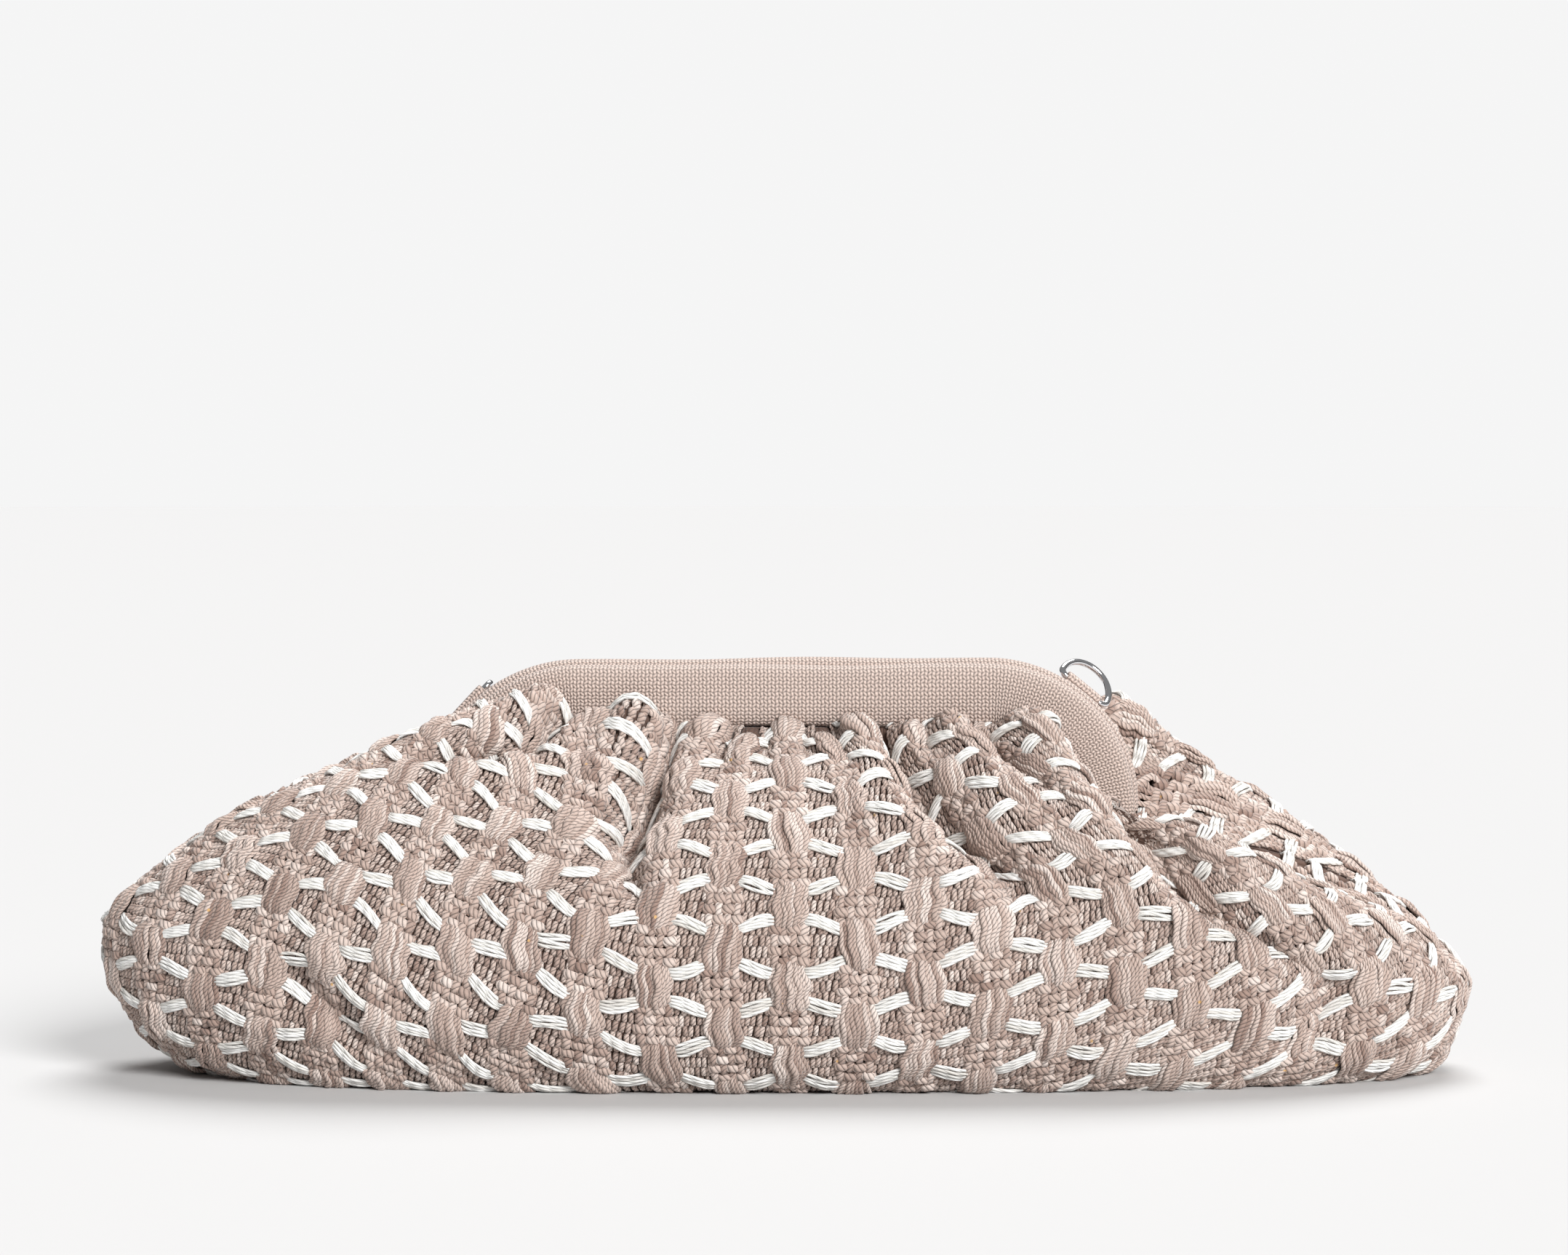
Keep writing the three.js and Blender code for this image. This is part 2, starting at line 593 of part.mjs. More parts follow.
// One half of the steel frame: a hoop of flat strip whose legs end in drilled ears on the hinge axis.
function frameBar(inset, middle) {
  const section = boxSection(inset, inset + BAR_THICKNESS, BAR_DEPTH);
  let made = solid(strip(section, hingeHeight, middle)); // the legs run down into the ears
  for (const side of [-1, 1]) {
    const x = side * (CASING_HALF_WIDTH - inset - BAR_THICKNESS / 2);
    made = made.add(solid(crossPin(EAR_RADIUS, BAR_THICKNESS, x, 0, hingeHeight)));
    const hole = crossPin(RIVET_RADIUS + RIVET_CLEARANCE, BAR_THICKNESS + 2, x, 0, hingeHeight);
    made = made.subtract(solid(hole));
  }
  return geometryOf(made);
}

const frontInset = BAR_INSET;
const backInset = BAR_INSET + BAR_THICKNESS + EAR_GAP;
const barInsets = { front: frontInset, back: backInset };

for (const side of ["front", "back"]) {
  const middle = side === "front" ? -casingMiddle : casingMiddle;
  const rise = side === "front" ? 0 : BACK_CASING_RISE;
  add(`${side}_casing`, sleeve(rise, middle), "canvas");
  add(`${side}_frame_bar`, frameBar(barInsets[side], middle), "steel");

  const padFoot = legEnd + PADDING_CLEARANCE;
  const padOuter = barInsets[side] - PADDING_CLEARANCE - PADDING_HEIGHT;
  const padInner = padOuter + PADDING_HEIGHT;
  const padSection = roundSection(padOuter, padInner, PADDING_DEPTH, PADDING_ROUNDNESS, PADDING_SIDES);
  add(`${side}_casing_padding`, strip(padSection, padFoot, middle), "foam");

  const magnetTop = CASING_TOP - backInset - BAR_THICKNESS - MAGNET_CLEARANCE;
  const towardsMiddle = side === "front" ? 1 : -1;
  const magnetShift = CASING_DEPTH / 2 - CASING_WALL - MAGNET_THICKNESS / 2 - MAGNET_SIDE_GAP;
  const magnetY = middle + towardsMiddle * magnetShift;
  for (const [hand, sign] of [["left", -1], ["right", 1]]) {
    const magnet = new THREE.BoxGeometry(MAGNET_LENGTH, MAGNET_THICKNESS, MAGNET_HEIGHT);
    const mesh = add(`${side}_${hand}_magnet`, magnet, "magnet");
    mesh.position.set((sign * MAGNET_SPACING) / 2, magnetY, magnetTop - MAGNET_HEIGHT / 2);
  }
}

// A spool-shaped rivet through both ears.
function rivet() {
  const reach = BAR_THICKNESS + EAR_GAP / 2 + RIVET_SIDE_PLAY;
  const profile = [
    [0, -reach - RIVET_HEAD_THICKNESS],
    [RIVET_HEAD_RADIUS * RIVET_HEAD_FLAT, -reach - RIVET_HEAD_THICKNESS],
    [RIVET_HEAD_RADIUS, -reach - RIVET_HEAD_THICKNESS / 2],
    [RIVET_HEAD_RADIUS, -reach],
    [RIVET_RADIUS, -reach],
    [RIVET_RADIUS, reach],
    [RIVET_HEAD_RADIUS, reach],
    [RIVET_HEAD_RADIUS, reach + RIVET_HEAD_THICKNESS / 2],
    [RIVET_HEAD_RADIUS * RIVET_HEAD_FLAT, reach + RIVET_HEAD_THICKNESS],
    [0, reach + RIVET_HEAD_THICKNESS],
  ];
  const points = profile.map(([r, y]) => new THREE.Vector2(r, y));
  return new THREE.LatheGeometry(points, ROUND_SIDES).rotateZ(Math.PI / 2);
}

const rivetX = CASING_HALF_WIDTH - frontInset - BAR_THICKNESS - EAR_GAP / 2;
for (const [hand, sign] of [["left", -1], ["right", 1]]) {
  add(`${hand}_hinge_rivet`, rivet(), "nickel").position.set(sign * rivetX, 0, hingeHeight);
  const disc = solid(crossPin(WASHER_RADIUS, WASHER_THICKNESS, sign * rivetX, 0, hingeHeight));
  const hole = crossPin(RIVET_RADIUS + RIVET_CLEARANCE, EAR_GAP, sign * rivetX, 0, hingeHeight);
  add(`${hand}_hinge_washer`, geometryOf(disc.subtract(solid(hole))), "nickel");
}

// The closed middle line of a D-ring in its own plane: x along the straight bar, y towards the bow.
function ringLine() {
  const half = RING_INNER_WIDTH / 2 + WIRE_RADIUS;
  const flat = half - RING_CORNER_RADIUS;
  const bow = RING_HEIGHT - RING_CORNER_RADIUS;
  const points = [];
  const corner = (x, from) => {
    for (let i = 0; i <= RING_CORNER_STEPS; i++) {
      const angle = from + (i / RING_CORNER_STEPS) * (Math.PI / 2);
      points.push([x + RING_CORNER_RADIUS * Math.cos(angle), RING_CORNER_RADIUS * (1 + Math.sin(angle))]);
    }
  };
  corner(flat, -Math.PI / 2);
  for (let i = 1; i < RING_STEPS; i++) {
    const angle = (i / RING_STEPS) * Math.PI;
    points.push([half * Math.cos(angle), RING_CORNER_RADIUS + bow * Math.sin(angle)]);
  }
  corner(-flat, Math.PI);
  return points;
}

// A round wire along the closed line of the ring.
function ring() {
  const line = ringLine();
  const count = line.length;
  const points = [];
  const faces = [];
  line.forEach(([x, y], i) => {
    const [ax, ay] = line[(i + count - 1) % count];
    const [bx, by] = line[(i + 1) % count];
    const size = Math.hypot(bx - ax, by - ay);
    const [nx, ny] = [(by - ay) / size, -(bx - ax) / size];
    for (let k = 0; k < WIRE_SIDES; k++) {
      const angle = ((k + 0.5) / WIRE_SIDES) * Math.PI * 2;
      const out = WIRE_RADIUS * Math.cos(angle);
      points.push([x + nx * out, y + ny * out, WIRE_RADIUS * Math.sin(angle)]);
      const next = (k + 1) % WIRE_SIDES;
      const ahead = ((i + 1) % count) * WIRE_SIDES;
      faces.push([i * WIRE_SIDES + k, ahead + k, ahead + next, i * WIRE_SIDES + next]);
    }
  });
  return surface(points, faces);
}

// The canvas tab: a tail on the casing's rear face that loops round the ring's bar. The shape's x is the
// frame's Y, and its y points away from the casing.
function tab() {
  const hole = WIRE_RADIUS + RING_CLEARANCE;
  const outer = hole + TAB_PLY;
  const shape = new THREE.Shape();
  shape.absarc(0, 0, outer, 0, Math.PI, false);
  shape.lineTo(-outer, -TAB_RISE - TAB_TAIL);
  shape.lineTo(-outer + 2 * TAB_PLY, -TAB_RISE - TAB_TAIL);
  shape.lineTo(-outer + 2 * TAB_PLY, -2 * outer);
  shape.lineTo(outer, 0);
  const eye = new THREE.Path();
  eye.absarc(0, 0, hole, 0, Math.PI * 2, true);
  shape.holes.push(eye);
  const options = { depth: TAB_WIDTH, bevelEnabled: false, curveSegments: TAB_STEPS };
  return new THREE.ExtrudeGeometry(shape, options).translate(0, 0, -TAB_WIDTH / 2);
}

// Each tab stands on the round corner of the back casing, and its ring leans back from it.
const tabY = casingMiddle + CASING_DEPTH / 2 + SEAM_GAP + WIRE_RADIUS + RING_CLEARANCE + TAB_PLY;
const tabs = [
  { hand: "left", sign: -1, stands: LEFT_TAB_ANGLE, lean: LEFT_RING_LEAN },
  { hand: "right", sign: 1, stands: RIGHT_TAB_ANGLE, lean: RIGHT_RING_LEAN },
];
for (const { hand, sign, stands, lean } of tabs) {
  const angle = THREE.MathUtils.degToRad(stands);
  const outwards = new THREE.Vector3(sign * Math.cos(angle), 0, Math.sin(angle));
  const rearwards = new THREE.Vector3(0, 1, 0);
  const along = rearwards.clone().cross(outwards);
  const place = new THREE.Vector3(sign * cornerX, tabY, cornerZ);
  place.addScaledVector(outwards, CASING_RADIUS + TAB_RISE);

  const tabMesh = add(`${hand}_ring_tab`, tab(), "canvas");
  tabMesh.quaternion.setFromRotationMatrix(new THREE.Matrix4().makeBasis(rearwards, outwards, along));
  tabMesh.position.copy(place);

  const tilt = THREE.MathUtils.degToRad(lean);
  const bow = outwards.clone().multiplyScalar(Math.cos(tilt)).addScaledVector(rearwards, Math.sin(tilt));
  const face = along.clone().cross(bow);
  const ringMesh = add(`${hand}_d_ring`, ring(), "nickel");
  ringMesh.quaternion.setFromRotationMatrix(new THREE.Matrix4().makeBasis(along, bow, face));
  ringMesh.position.copy(place);
}

export default bag;
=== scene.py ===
# %% [markdown]
# # A gathered clutch in chunky honeycomb cloth
# The bag is a soft half-moon pouch on a hinged purse frame. Two woven panels are gathered onto the frame. Its
# halves are hidden in padded canvas sleeves, and a plated D-ring sits on a canvas tab at each end.
#
# The hard parts come from the imported CAD model. This script dresses them: it hides each plain cloth solid and
# puts woven cloth in its place, yarn by yarn. The first cell loads the model.

# %% Load the imported model
import math

import bmesh
import bpy
import numpy as np
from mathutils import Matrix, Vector


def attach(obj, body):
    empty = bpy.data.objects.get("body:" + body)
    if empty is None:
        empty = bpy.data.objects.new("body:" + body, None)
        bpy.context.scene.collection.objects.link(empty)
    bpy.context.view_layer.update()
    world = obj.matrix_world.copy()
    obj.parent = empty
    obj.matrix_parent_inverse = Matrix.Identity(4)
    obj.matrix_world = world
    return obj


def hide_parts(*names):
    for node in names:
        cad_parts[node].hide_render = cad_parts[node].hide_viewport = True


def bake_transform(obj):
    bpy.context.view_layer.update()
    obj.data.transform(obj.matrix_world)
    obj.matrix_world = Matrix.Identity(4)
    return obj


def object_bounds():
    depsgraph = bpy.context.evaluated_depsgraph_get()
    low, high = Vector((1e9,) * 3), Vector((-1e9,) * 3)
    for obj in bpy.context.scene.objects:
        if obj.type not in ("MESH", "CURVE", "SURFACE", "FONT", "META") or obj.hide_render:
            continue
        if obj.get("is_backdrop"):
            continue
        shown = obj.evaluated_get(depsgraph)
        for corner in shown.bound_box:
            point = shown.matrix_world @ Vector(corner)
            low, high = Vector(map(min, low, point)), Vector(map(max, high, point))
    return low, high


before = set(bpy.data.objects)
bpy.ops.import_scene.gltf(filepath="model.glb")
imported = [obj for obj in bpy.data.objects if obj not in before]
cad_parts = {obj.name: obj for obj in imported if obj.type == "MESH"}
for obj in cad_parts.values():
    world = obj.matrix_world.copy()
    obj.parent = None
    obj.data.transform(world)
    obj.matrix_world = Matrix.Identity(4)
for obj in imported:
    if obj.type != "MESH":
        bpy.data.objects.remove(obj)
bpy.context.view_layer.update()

# %% [markdown]
# ## Driving sizes
# The sizes are the CAD model's own, in millimetres, so that every soft piece fits the space of its solid.
# Only the flat bottom's left end lies a little further in, where the real cloth lifts off the floor. X runs
# along the bag, -Y is the front and +Z is up. `MM` turns millimetres into Blender's metres.

# %% Sizes of the bag's body
MM = 0.001
HALF_LENGTH = 206.0
HALF_DEPTH = 60.0
BELLY_HEIGHT = 40.0
LEFT_TIP_HEIGHT = 45.0
RIGHT_TIP_HEIGHT = 31.0
FLOOR_LEFT = 166.0  # how far the flat bottom reaches each way from the middle
FLOOR_RIGHT = 190.0
FLOOR_HALF_DEPTH = 45.0
SEAM_SHARE = 0.975  # of the flat bottom's length, for the straight seam along its middle
PLAN_ROUNDNESS = 2.4  # exponent of the outline seen from above
BELLY_ROUNDING = 0.6  # how round the lower half is, at the belly and at the flat bottom's edge
FLOOR_ROUNDING = 0.55

# %% How the cloth leaves the gathered seam and arrives at the belly
# Each pull is x and y in millimetres, and z as a share of the height from the belly to the casing's top.
LIFT = {"middle": (0, -18, -0.096), "side": (2, -23, 0), "seam": (14, -1, 0.241)}
ARRIVE = {"middle": (0, 0, 0.398), "side": (-25, -7, 0.627), "seam": (-26, 0, 0.422)}
PUFF = {"front": (0.398, 0.048), "back": (0.398, 0.53)}  # added to the side's z, at the left and at the right
SIDE_SPAN = (0.3, 0.85)  # shares over which the middle's pull turns into the side's
SEAM_SPAN = (0.87, 1.0)  # and the side's into the side seam's
TIP_SPAN = (0.45, 1.0)  # over which the belly's height turns into the tip's
SIDE_SHARE = 0.92  # shares past this one run on from the leg's end to the side seam

# %% Sizes of the casings and of the frame's path
CASING_TOP = 123.0
CASING_HALF_WIDTH = 106.5
CASING_RADIUS = 44.0
CASING_BAND = 17.0
CASING_DEPTH = 9.0
CASING_ROUNDNESS = 3.5
BACK_CASING_RISE = 1.5
CLOSING_GAP = 0.6  # between the two casings
SEAM_GAP = 0.4  # between sewn layers
SEAM_FORWARD = 2.0  # how far the gathered seam lies in front of its casing's middle
LEG_END = 78.0
SEAM_FOOT = 65.0
SIDE_SEAM_TOP = 60.0
corner_x = CASING_HALF_WIDTH - CASING_RADIUS
corner_z = CASING_TOP - CASING_RADIUS
casing_middle = (CASING_DEPTH + CLOSING_GAP) / 2
cloth_rise = CASING_TOP - BELLY_HEIGHT

# %% [markdown]
# ## The shape of the body
# Each panel is a loft between three curves: the gathered seam on the frame, the bag's widest outline (the
# belly) and the edge of the flat bottom. A point of it has a `share`, from -1 at the left side seam to 1 at
# the right, and a way `down`: 0 at the gathered seam, 1 at the belly, 2 at the bottom's edge and 3 at its
# middle. All points are worked out together as numpy arrays, for the front of the bag. A sculpted mesh could
# look the same, but it would not change with the sizes above.


# %% Small helpers for smooth changes
def smooth(start, end, value):
    """Rises from 0 to 1 between start and end as 3x^2 - 2x^3, with x the share of the way between them."""
    x = np.clip((value - start) / (end - start), 0, 1)
    return x * x * (3 - 2 * x)


def mix(a, b, t):
    """Straight blend: a where t is 0 and b where t is 1."""
    return a + (b - a) * t


def path_lengths(points):
    """Distance along a line of points up to each of them: the running sum of its steps."""
    return np.concatenate([[0], np.cumsum(np.linalg.norm(np.diff(points, axis=0), axis=1))])


def unit(vectors):
    """The same directions at length 1."""
    return vectors / np.maximum(np.linalg.norm(vectors, axis=-1, keepdims=True), 1e-9)


def right_of(run):
    """Directions square to those of a flat line, to its right: (x, y) turned into (y, -x)."""
    return np.column_stack([run[:, 1], -run[:, 0]])


# %% The hoop that the frame and its casings follow
def hoop(inset, foot, steps=24):
    """Two straight legs and two quarter circles of radius CASING_RADIUS - inset, as x and z."""
    radius = CASING_RADIUS - inset
    left = np.pi - np.linspace(0, np.pi / 2, steps + 1)
    right = np.pi / 2 - np.linspace(0, np.pi / 2, steps + 1)
    x = np.concatenate([-corner_x + radius * np.cos(left), corner_x + radius * np.cos(right)])
    z = corner_z + radius * np.sin(np.concatenate([left, right]))
    ends = corner_x + radius
    return np.column_stack([np.concatenate([[-ends], x, [ends]]), np.concatenate([[foot], z, [foot]])])


# %% The curves that the body is lofted between
angles = np.linspace(0, np.pi / 2, 401)
outline_x = HALF_LENGTH * np.sin(angles) ** (2 / PLAN_ROUNDNESS)
outline_y = HALF_DEPTH * np.cos(angles) ** (2 / PLAN_ROUNDNESS)
outline_length = path_lengths(np.column_stack([outline_x, outline_y]))
HALF_CLOTH = outline_length[-1]

seam_hoop = hoop(CASING_BAND + SEAM_GAP, SEAM_FOOT)
seam_y = np.full(len(seam_hoop), -(casing_middle + SEAM_FORWARD))
seam_line = np.vstack([
    [-CASING_HALF_WIDTH, 0, SIDE_SEAM_TOP],
    np.column_stack([seam_hoop[:, 0], seam_y, seam_hoop[:, 1]]),
    [CASING_HALF_WIDTH, 0, SIDE_SEAM_TOP],
])
seam_length = path_lengths(seam_line)
print(f"half of the cloth is {HALF_CLOTH:.0f} mm wide and gathers onto {seam_length[-1] / 2:.0f} mm of seam")


def seam_at(share):
    """The gathered seam: the hoop's inner edge up to SIDE_SHARE, then a straight run to the side seam."""
    size = np.abs(share)
    hoop_half = seam_length[-1] / 2 - seam_length[1]
    past = (size - SIDE_SHARE) / (1 - SIDE_SHARE) * seam_length[1]
    along = np.where(size < SIDE_SHARE, size / SIDE_SHARE * hoop_half, hoop_half + past)
    at = seam_length[-1] / 2 + np.sign(share) * along
    return np.stack([np.interp(at, seam_length, seam_line[:, k]) for k in range(3)], -1)


def pull(table, share, puff):
    """The pull on a profile's end: the middle's value, turning into the side's and then the side seam's."""
    size = np.abs(share)[..., None]
    nothing = np.zeros_like(puff)
    side = np.array(table["side"]) + np.stack([nothing, nothing, puff], -1)
    value = mix(np.array(table["middle"]), side, smooth(*SIDE_SPAN, size))
    value = mix(value, np.array(table["seam"]), smooth(*SEAM_SPAN, size))
    sign = np.where(share < 0, -1.0, 1.0)
    return value * np.stack([sign, np.ones_like(sign), np.full_like(sign, cloth_rise)], -1)


def bezier(a, b, c, d, t):
    """Cubic curve through a and d with the pulls b and c, at t from 0 to 1."""
    t = t[..., None]
    return (1 - t) ** 3 * a + 3 * (1 - t) ** 2 * t * b + 3 * (1 - t) * t**2 * c + t**3 * d


def body_point(share, down, side):
    """The smooth body: a Bezier from seam to belly, one from belly to bottom edge, and a straight run."""
    plan_x = np.sign(share) * np.interp(np.abs(share) * HALF_CLOTH, outline_length, outline_x) / HALF_LENGTH
    plan_y = np.interp(np.abs(share) * HALF_CLOTH, outline_length, outline_y) / HALF_DEPTH
    left = share < 0
    reach = np.where(left, FLOOR_LEFT, FLOOR_RIGHT)
    tip = np.where(left, LEFT_TIP_HEIGHT, RIGHT_TIP_HEIGHT)
    puff = np.where(left, *PUFF[side])
    belly_z = mix(BELLY_HEIGHT, tip, smooth(*TIP_SPAN, np.abs(share)))
    zero = np.zeros_like(share)
    top = seam_at(share)
    belly = np.stack([plan_x * HALF_LENGTH, -plan_y * HALF_DEPTH, belly_z], -1)
    edge = np.stack([plan_x * reach, -plan_y * FLOOR_HALF_DEPTH, zero], -1)
    middle = np.stack([plan_x * reach * SEAM_SHARE, zero, zero], -1)
    lifted = top + pull(LIFT, share, puff)
    arriving = belly + pull(ARRIVE, share, zero)
    upper = bezier(top, lifted, arriving, belly, np.clip(down, 0, 1))
    leaving = belly * [1, 1, 1 - BELLY_ROUNDING]
    under = mix(edge, belly, FLOOR_ROUNDING) * [1, 1, 0]
    lower = bezier(belly, leaving, under, edge, np.clip(down - 1, 0, 1))
    floor = mix(edge, middle, np.clip(down - 2, 0, 1)[..., None])
    way = down[..., None]
    return np.where(way <= 1, upper, np.where(way <= 2, lower, floor))


# %% [markdown]
# ## The folds
# The cloth is nearly twice as wide as the seam that it is sewn to, so it falls into rolls with hollows
# between them. Each fold is a short list of places down its line, with how wide it is to either side and how
# deep. A roll is a fold of negative depth. Where the cloth puffs up over the casing, a crown pushes it up and
# forward. The folds are placed one by one and not by a cloth simulation, so that they lie where they do on
# the bag.

# %% Folds of the front: share, down, width to the left, width to the right, depth in mm
FOLDS = {}
FOLDS["front"] = {
    "main left hollow": [
        (-0.25, 0, 0.018, 0.018, 6), (-0.257, 0.15, 0.022, 0.025, 13), (-0.257, 0.3, 0.03, 0.034, 18),
        (-0.248, 0.46, 0.042, 0.045, 20), (-0.24, 0.58, 0.036, 0.038, 18), (-0.228, 0.67, 0.028, 0.028, 12),
        (-0.2, 0.77, 0.022, 0.022, 6), (-0.19, 0.88, 0.02, 0.02, 0),
    ],
    "main right hollow": [
        (0.214, 0, 0.012, 0.03, 5), (0.224, 0.15, 0.014, 0.04, 10), (0.23, 0.3, 0.016, 0.055, 14),
        (0.234, 0.42, 0.017, 0.06, 16), (0.24, 0.52, 0.018, 0.06, 17), (0.257, 0.6, 0.02, 0.055, 17),
        (0.287, 0.67, 0.025, 0.045, 13), (0.302, 0.75, 0.03, 0.04, 6), (0.315, 0.88, 0.03, 0.04, 0),
    ],
    "behind the fourth roll": [
        (0.415, 0, 0.012, 0.03, 5), (0.432, 0.15, 0.012, 0.035, 7), (0.438, 0.28, 0.013, 0.04, 8),
        (0.455, 0.38, 0.015, 0.035, 7), (0.47, 0.46, 0.02, 0.025, 4), (0.47, 0.6, 0.03, 0.03, 0),
    ],
    "behind the fifth roll": [
        (0.665, 0, 0.02, 0.05, 4), (0.65, 0.15, 0.02, 0.07, 8), (0.615, 0.3, 0.022, 0.08, 12),
        (0.575, 0.45, 0.024, 0.08, 14), (0.548, 0.6, 0.026, 0.08, 15), (0.54, 0.72, 0.028, 0.07, 14),
        (0.548, 0.81, 0.03, 0.06, 12), (0.575, 0.89, 0.035, 0.05, 10), (0.62, 0.95, 0.04, 0.04, 8),
        (0.68, 1.01, 0.04, 0.04, 5), (0.72, 1.12, 0.04, 0.04, 0),
    ],
    "low right shoulder": [
        (0.84, 0.02, 0.14, 0.25, 3), (0.84, 0.2, 0.16, 0.25, 9), (0.82, 0.45, 0.16, 0.25, 10),
        (0.8, 0.7, 0.14, 0.25, 7), (0.8, 0.9, 0.14, 0.25, 2), (0.8, 1.05, 0.14, 0.25, 0),
    ],
    "under the first roll": [
        (-0.478, 0, 0.02, 0.02, 4), (-0.48, 0.15, 0.025, 0.02, 9), (-0.486, 0.25, 0.035, 0.02, 11),
        (-0.49, 0.34, 0.045, 0.022, 10), (-0.545, 0.41, 0.055, 0.025, 8), (-0.6, 0.47, 0.06, 0.03, 4),
        (-0.68, 0.54, 0.06, 0.04, 0),
    ],
    "far left gather": [(-0.62, 0, 0.03, 0.03, 3), (-0.62, 0.2, 0.03, 0.03, 4), (-0.66, 0.4, 0.04, 0.04, 0)],
    "left tuck": [(-0.375, 0, 0.015, 0.02, 3), (-0.38, 0.14, 0.02, 0.02, 3), (-0.39, 0.32, 0.03, 0.03, 0)],
    "first tuck": [(-0.12, 0, 0.02, 0.015, 4), (-0.125, 0.2, 0.02, 0.02, 4), (-0.13, 0.4, 0.03, 0.03, 0)],
    "second tuck": [(-0.04, 0, 0.015, 0.015, 3), (-0.04, 0.15, 0.02, 0.02, 3), (-0.04, 0.33, 0.03, 0.03, 0)],
    "third tuck": [(0.05, 0, 0.015, 0.015, 3), (0.05, 0.15, 0.02, 0.02, 3), (0.05, 0.33, 0.03, 0.03, 0)],
    "fourth tuck": [(0.12, 0, 0.015, 0.02, 4), (0.125, 0.18, 0.02, 0.02, 4), (0.13, 0.38, 0.03, 0.03, 0)],
    "fifth tuck": [(0.315, 0, 0.015, 0.02, 4), (0.32, 0.15, 0.02, 0.02, 4), (0.33, 0.3, 0.03, 0.03, 0)],
    "second roll": [(-0.33, 0, 0.05, 0.04, 0), (-0.34, 0.2, 0.05, 0.04, -4), (-0.33, 0.5, 0.06, 0.05, -3),
                    (-0.3, 0.75, 0.08, 0.06, 0)],
    "third roll": [(0.165, 0, 0.04, 0.04, 0), (0.165, 0.25, 0.045, 0.04, -3), (0.17, 0.55, 0.05, 0.04, -4),
                   (0.235, 0.72, 0.06, 0.05, -3), (0.25, 0.95, 0.06, 0.06, 0)],
    "fourth roll": [(0.38, 0, 0.04, 0.03, 0), (0.39, 0.25, 0.045, 0.035, -3), (0.365, 0.55, 0.05, 0.05, -3),
                    (0.36, 0.8, 0.06, 0.06, 0)],
    "fifth roll": [(0.5, 0, 0.04, 0.05, 0), (0.5, 0.3, 0.05, 0.05, -3), (0.475, 0.55, 0.06, 0.05, -4),
                   (0.47, 0.75, 0.06, 0.05, -3), (0.52, 1, 0.08, 0.07, 0)],
    "last roll": [(0.7, 0.45, 0.06, 0.08, 0), (0.68, 0.62, 0.06, 0.08, -4), (0.72, 0.75, 0.07, 0.08, -4),
                  (0.8, 0.9, 0.08, 0.08, 0)],
    "low left dent": [(-0.64, 0.98, 0.04, 0.03, 0), (-0.62, 1.1, 0.04, 0.03, 5), (-0.58, 1.32, 0.04, 0.03, 5),
                      (-0.54, 1.55, 0.04, 0.03, 0)],
    "low right crease": [(0.72, 0.98, 0.04, 0.03, 0), (0.713, 1.12, 0.04, 0.03, 6),
                         (0.7, 1.36, 0.04, 0.03, 6), (0.69, 1.55, 0.04, 0.03, 0)],
}

# %% Folds of the back, which the photograph does not show
FOLDS["back"] = {}
BACK_FOLDS = [(-0.66, 8, 0.7), (-0.5, 10, 0.8), (-0.36, 9, 0.65), (-0.22, 16, 0.85), (-0.07, 8, 0.55),
              (0.08, 12, 0.75), (0.21, 8, 0.55), (0.33, 16, 0.85), (0.46, 9, 0.65), (0.6, 11, 0.8)]
for place, depth, end in BACK_FOLDS:
    lean = 0.03 * (1 if place > 0 else -1)
    FOLDS["back"][f"hollow at {place}"] = [
        (place, 0, 0.018, 0.018, depth * 0.35), (place, 0.15, 0.024, 0.024, depth * 0.75),
        (place, 0.4 * end, 0.034, 0.034, depth), (place + lean, 0.75 * end, 0.036, 0.036, depth * 0.6),
        (place + lean, 1.1 * end, 0.03, 0.03, 0),
    ]
FOLDS["back"]["low left dent"] = [
    (-0.7, 0.98, 0.04, 0.04, 0), (-0.68, 1.15, 0.04, 0.04, 5), (-0.64, 1.35, 0.04, 0.04, 5),
    (-0.62, 1.55, 0.04, 0.04, 0),
]
FOLDS["back"]["low right dent"] = [
    (0.58, 0.98, 0.04, 0.04, 0), (0.56, 1.15, 0.04, 0.04, 5), (0.54, 1.35, 0.04, 0.04, 4),
    (0.53, 1.55, 0.04, 0.04, 0),
]

# %% Crowns: share, down, reach along the cloth, reach down, forward and up in mm
CROWNS = {
    "front": [
        (-0.35, 0.12, 0.068, 0.14, 5, 9.5), (-0.575, 0.14, 0.12, 0.18, 2, 11), (-0.76, 0.3, 0.15, 0.24, 0, 6),
        (-0.18, 0.07, 0.045, 0.08, 2, 3), (0.385, 0.09, 0.05, 0.1, 3, 5), (0.165, 0.07, 0.04, 0.08, 2, 3),
        (0.59, 0.13, 0.075, 0.16, 5, 9), (0, 0.06, 0.03, 0.07, 1.5, 2), (-0.08, 0.06, 0.03, 0.07, 1.5, 2),
        (0.08, 0.06, 0.03, 0.07, 1.5, 2), (0.28, 0.07, 0.03, 0.08, 2, 3),
    ],
    "back": [
        (-0.58, 0.14, 0.08, 0.14, 2, 6), (-0.43, 0.1, 0.05, 0.1, 3, 4), (-0.29, 0.1, 0.05, 0.1, 3, 4),
        (-0.14, 0.08, 0.05, 0.08, 2, 3), (0.01, 0.08, 0.05, 0.08, 2, 3), (0.14, 0.08, 0.05, 0.08, 2, 3),
        (0.27, 0.1, 0.05, 0.1, 3, 4), (0.4, 0.1, 0.05, 0.1, 3, 4), (0.53, 0.12, 0.06, 0.12, 2, 5),
        (0.6, 0.14, 0.04, 0.12, 0, 3), (0.77, 0.31, 0.07, 0.14, 0, 10),
    ],
}


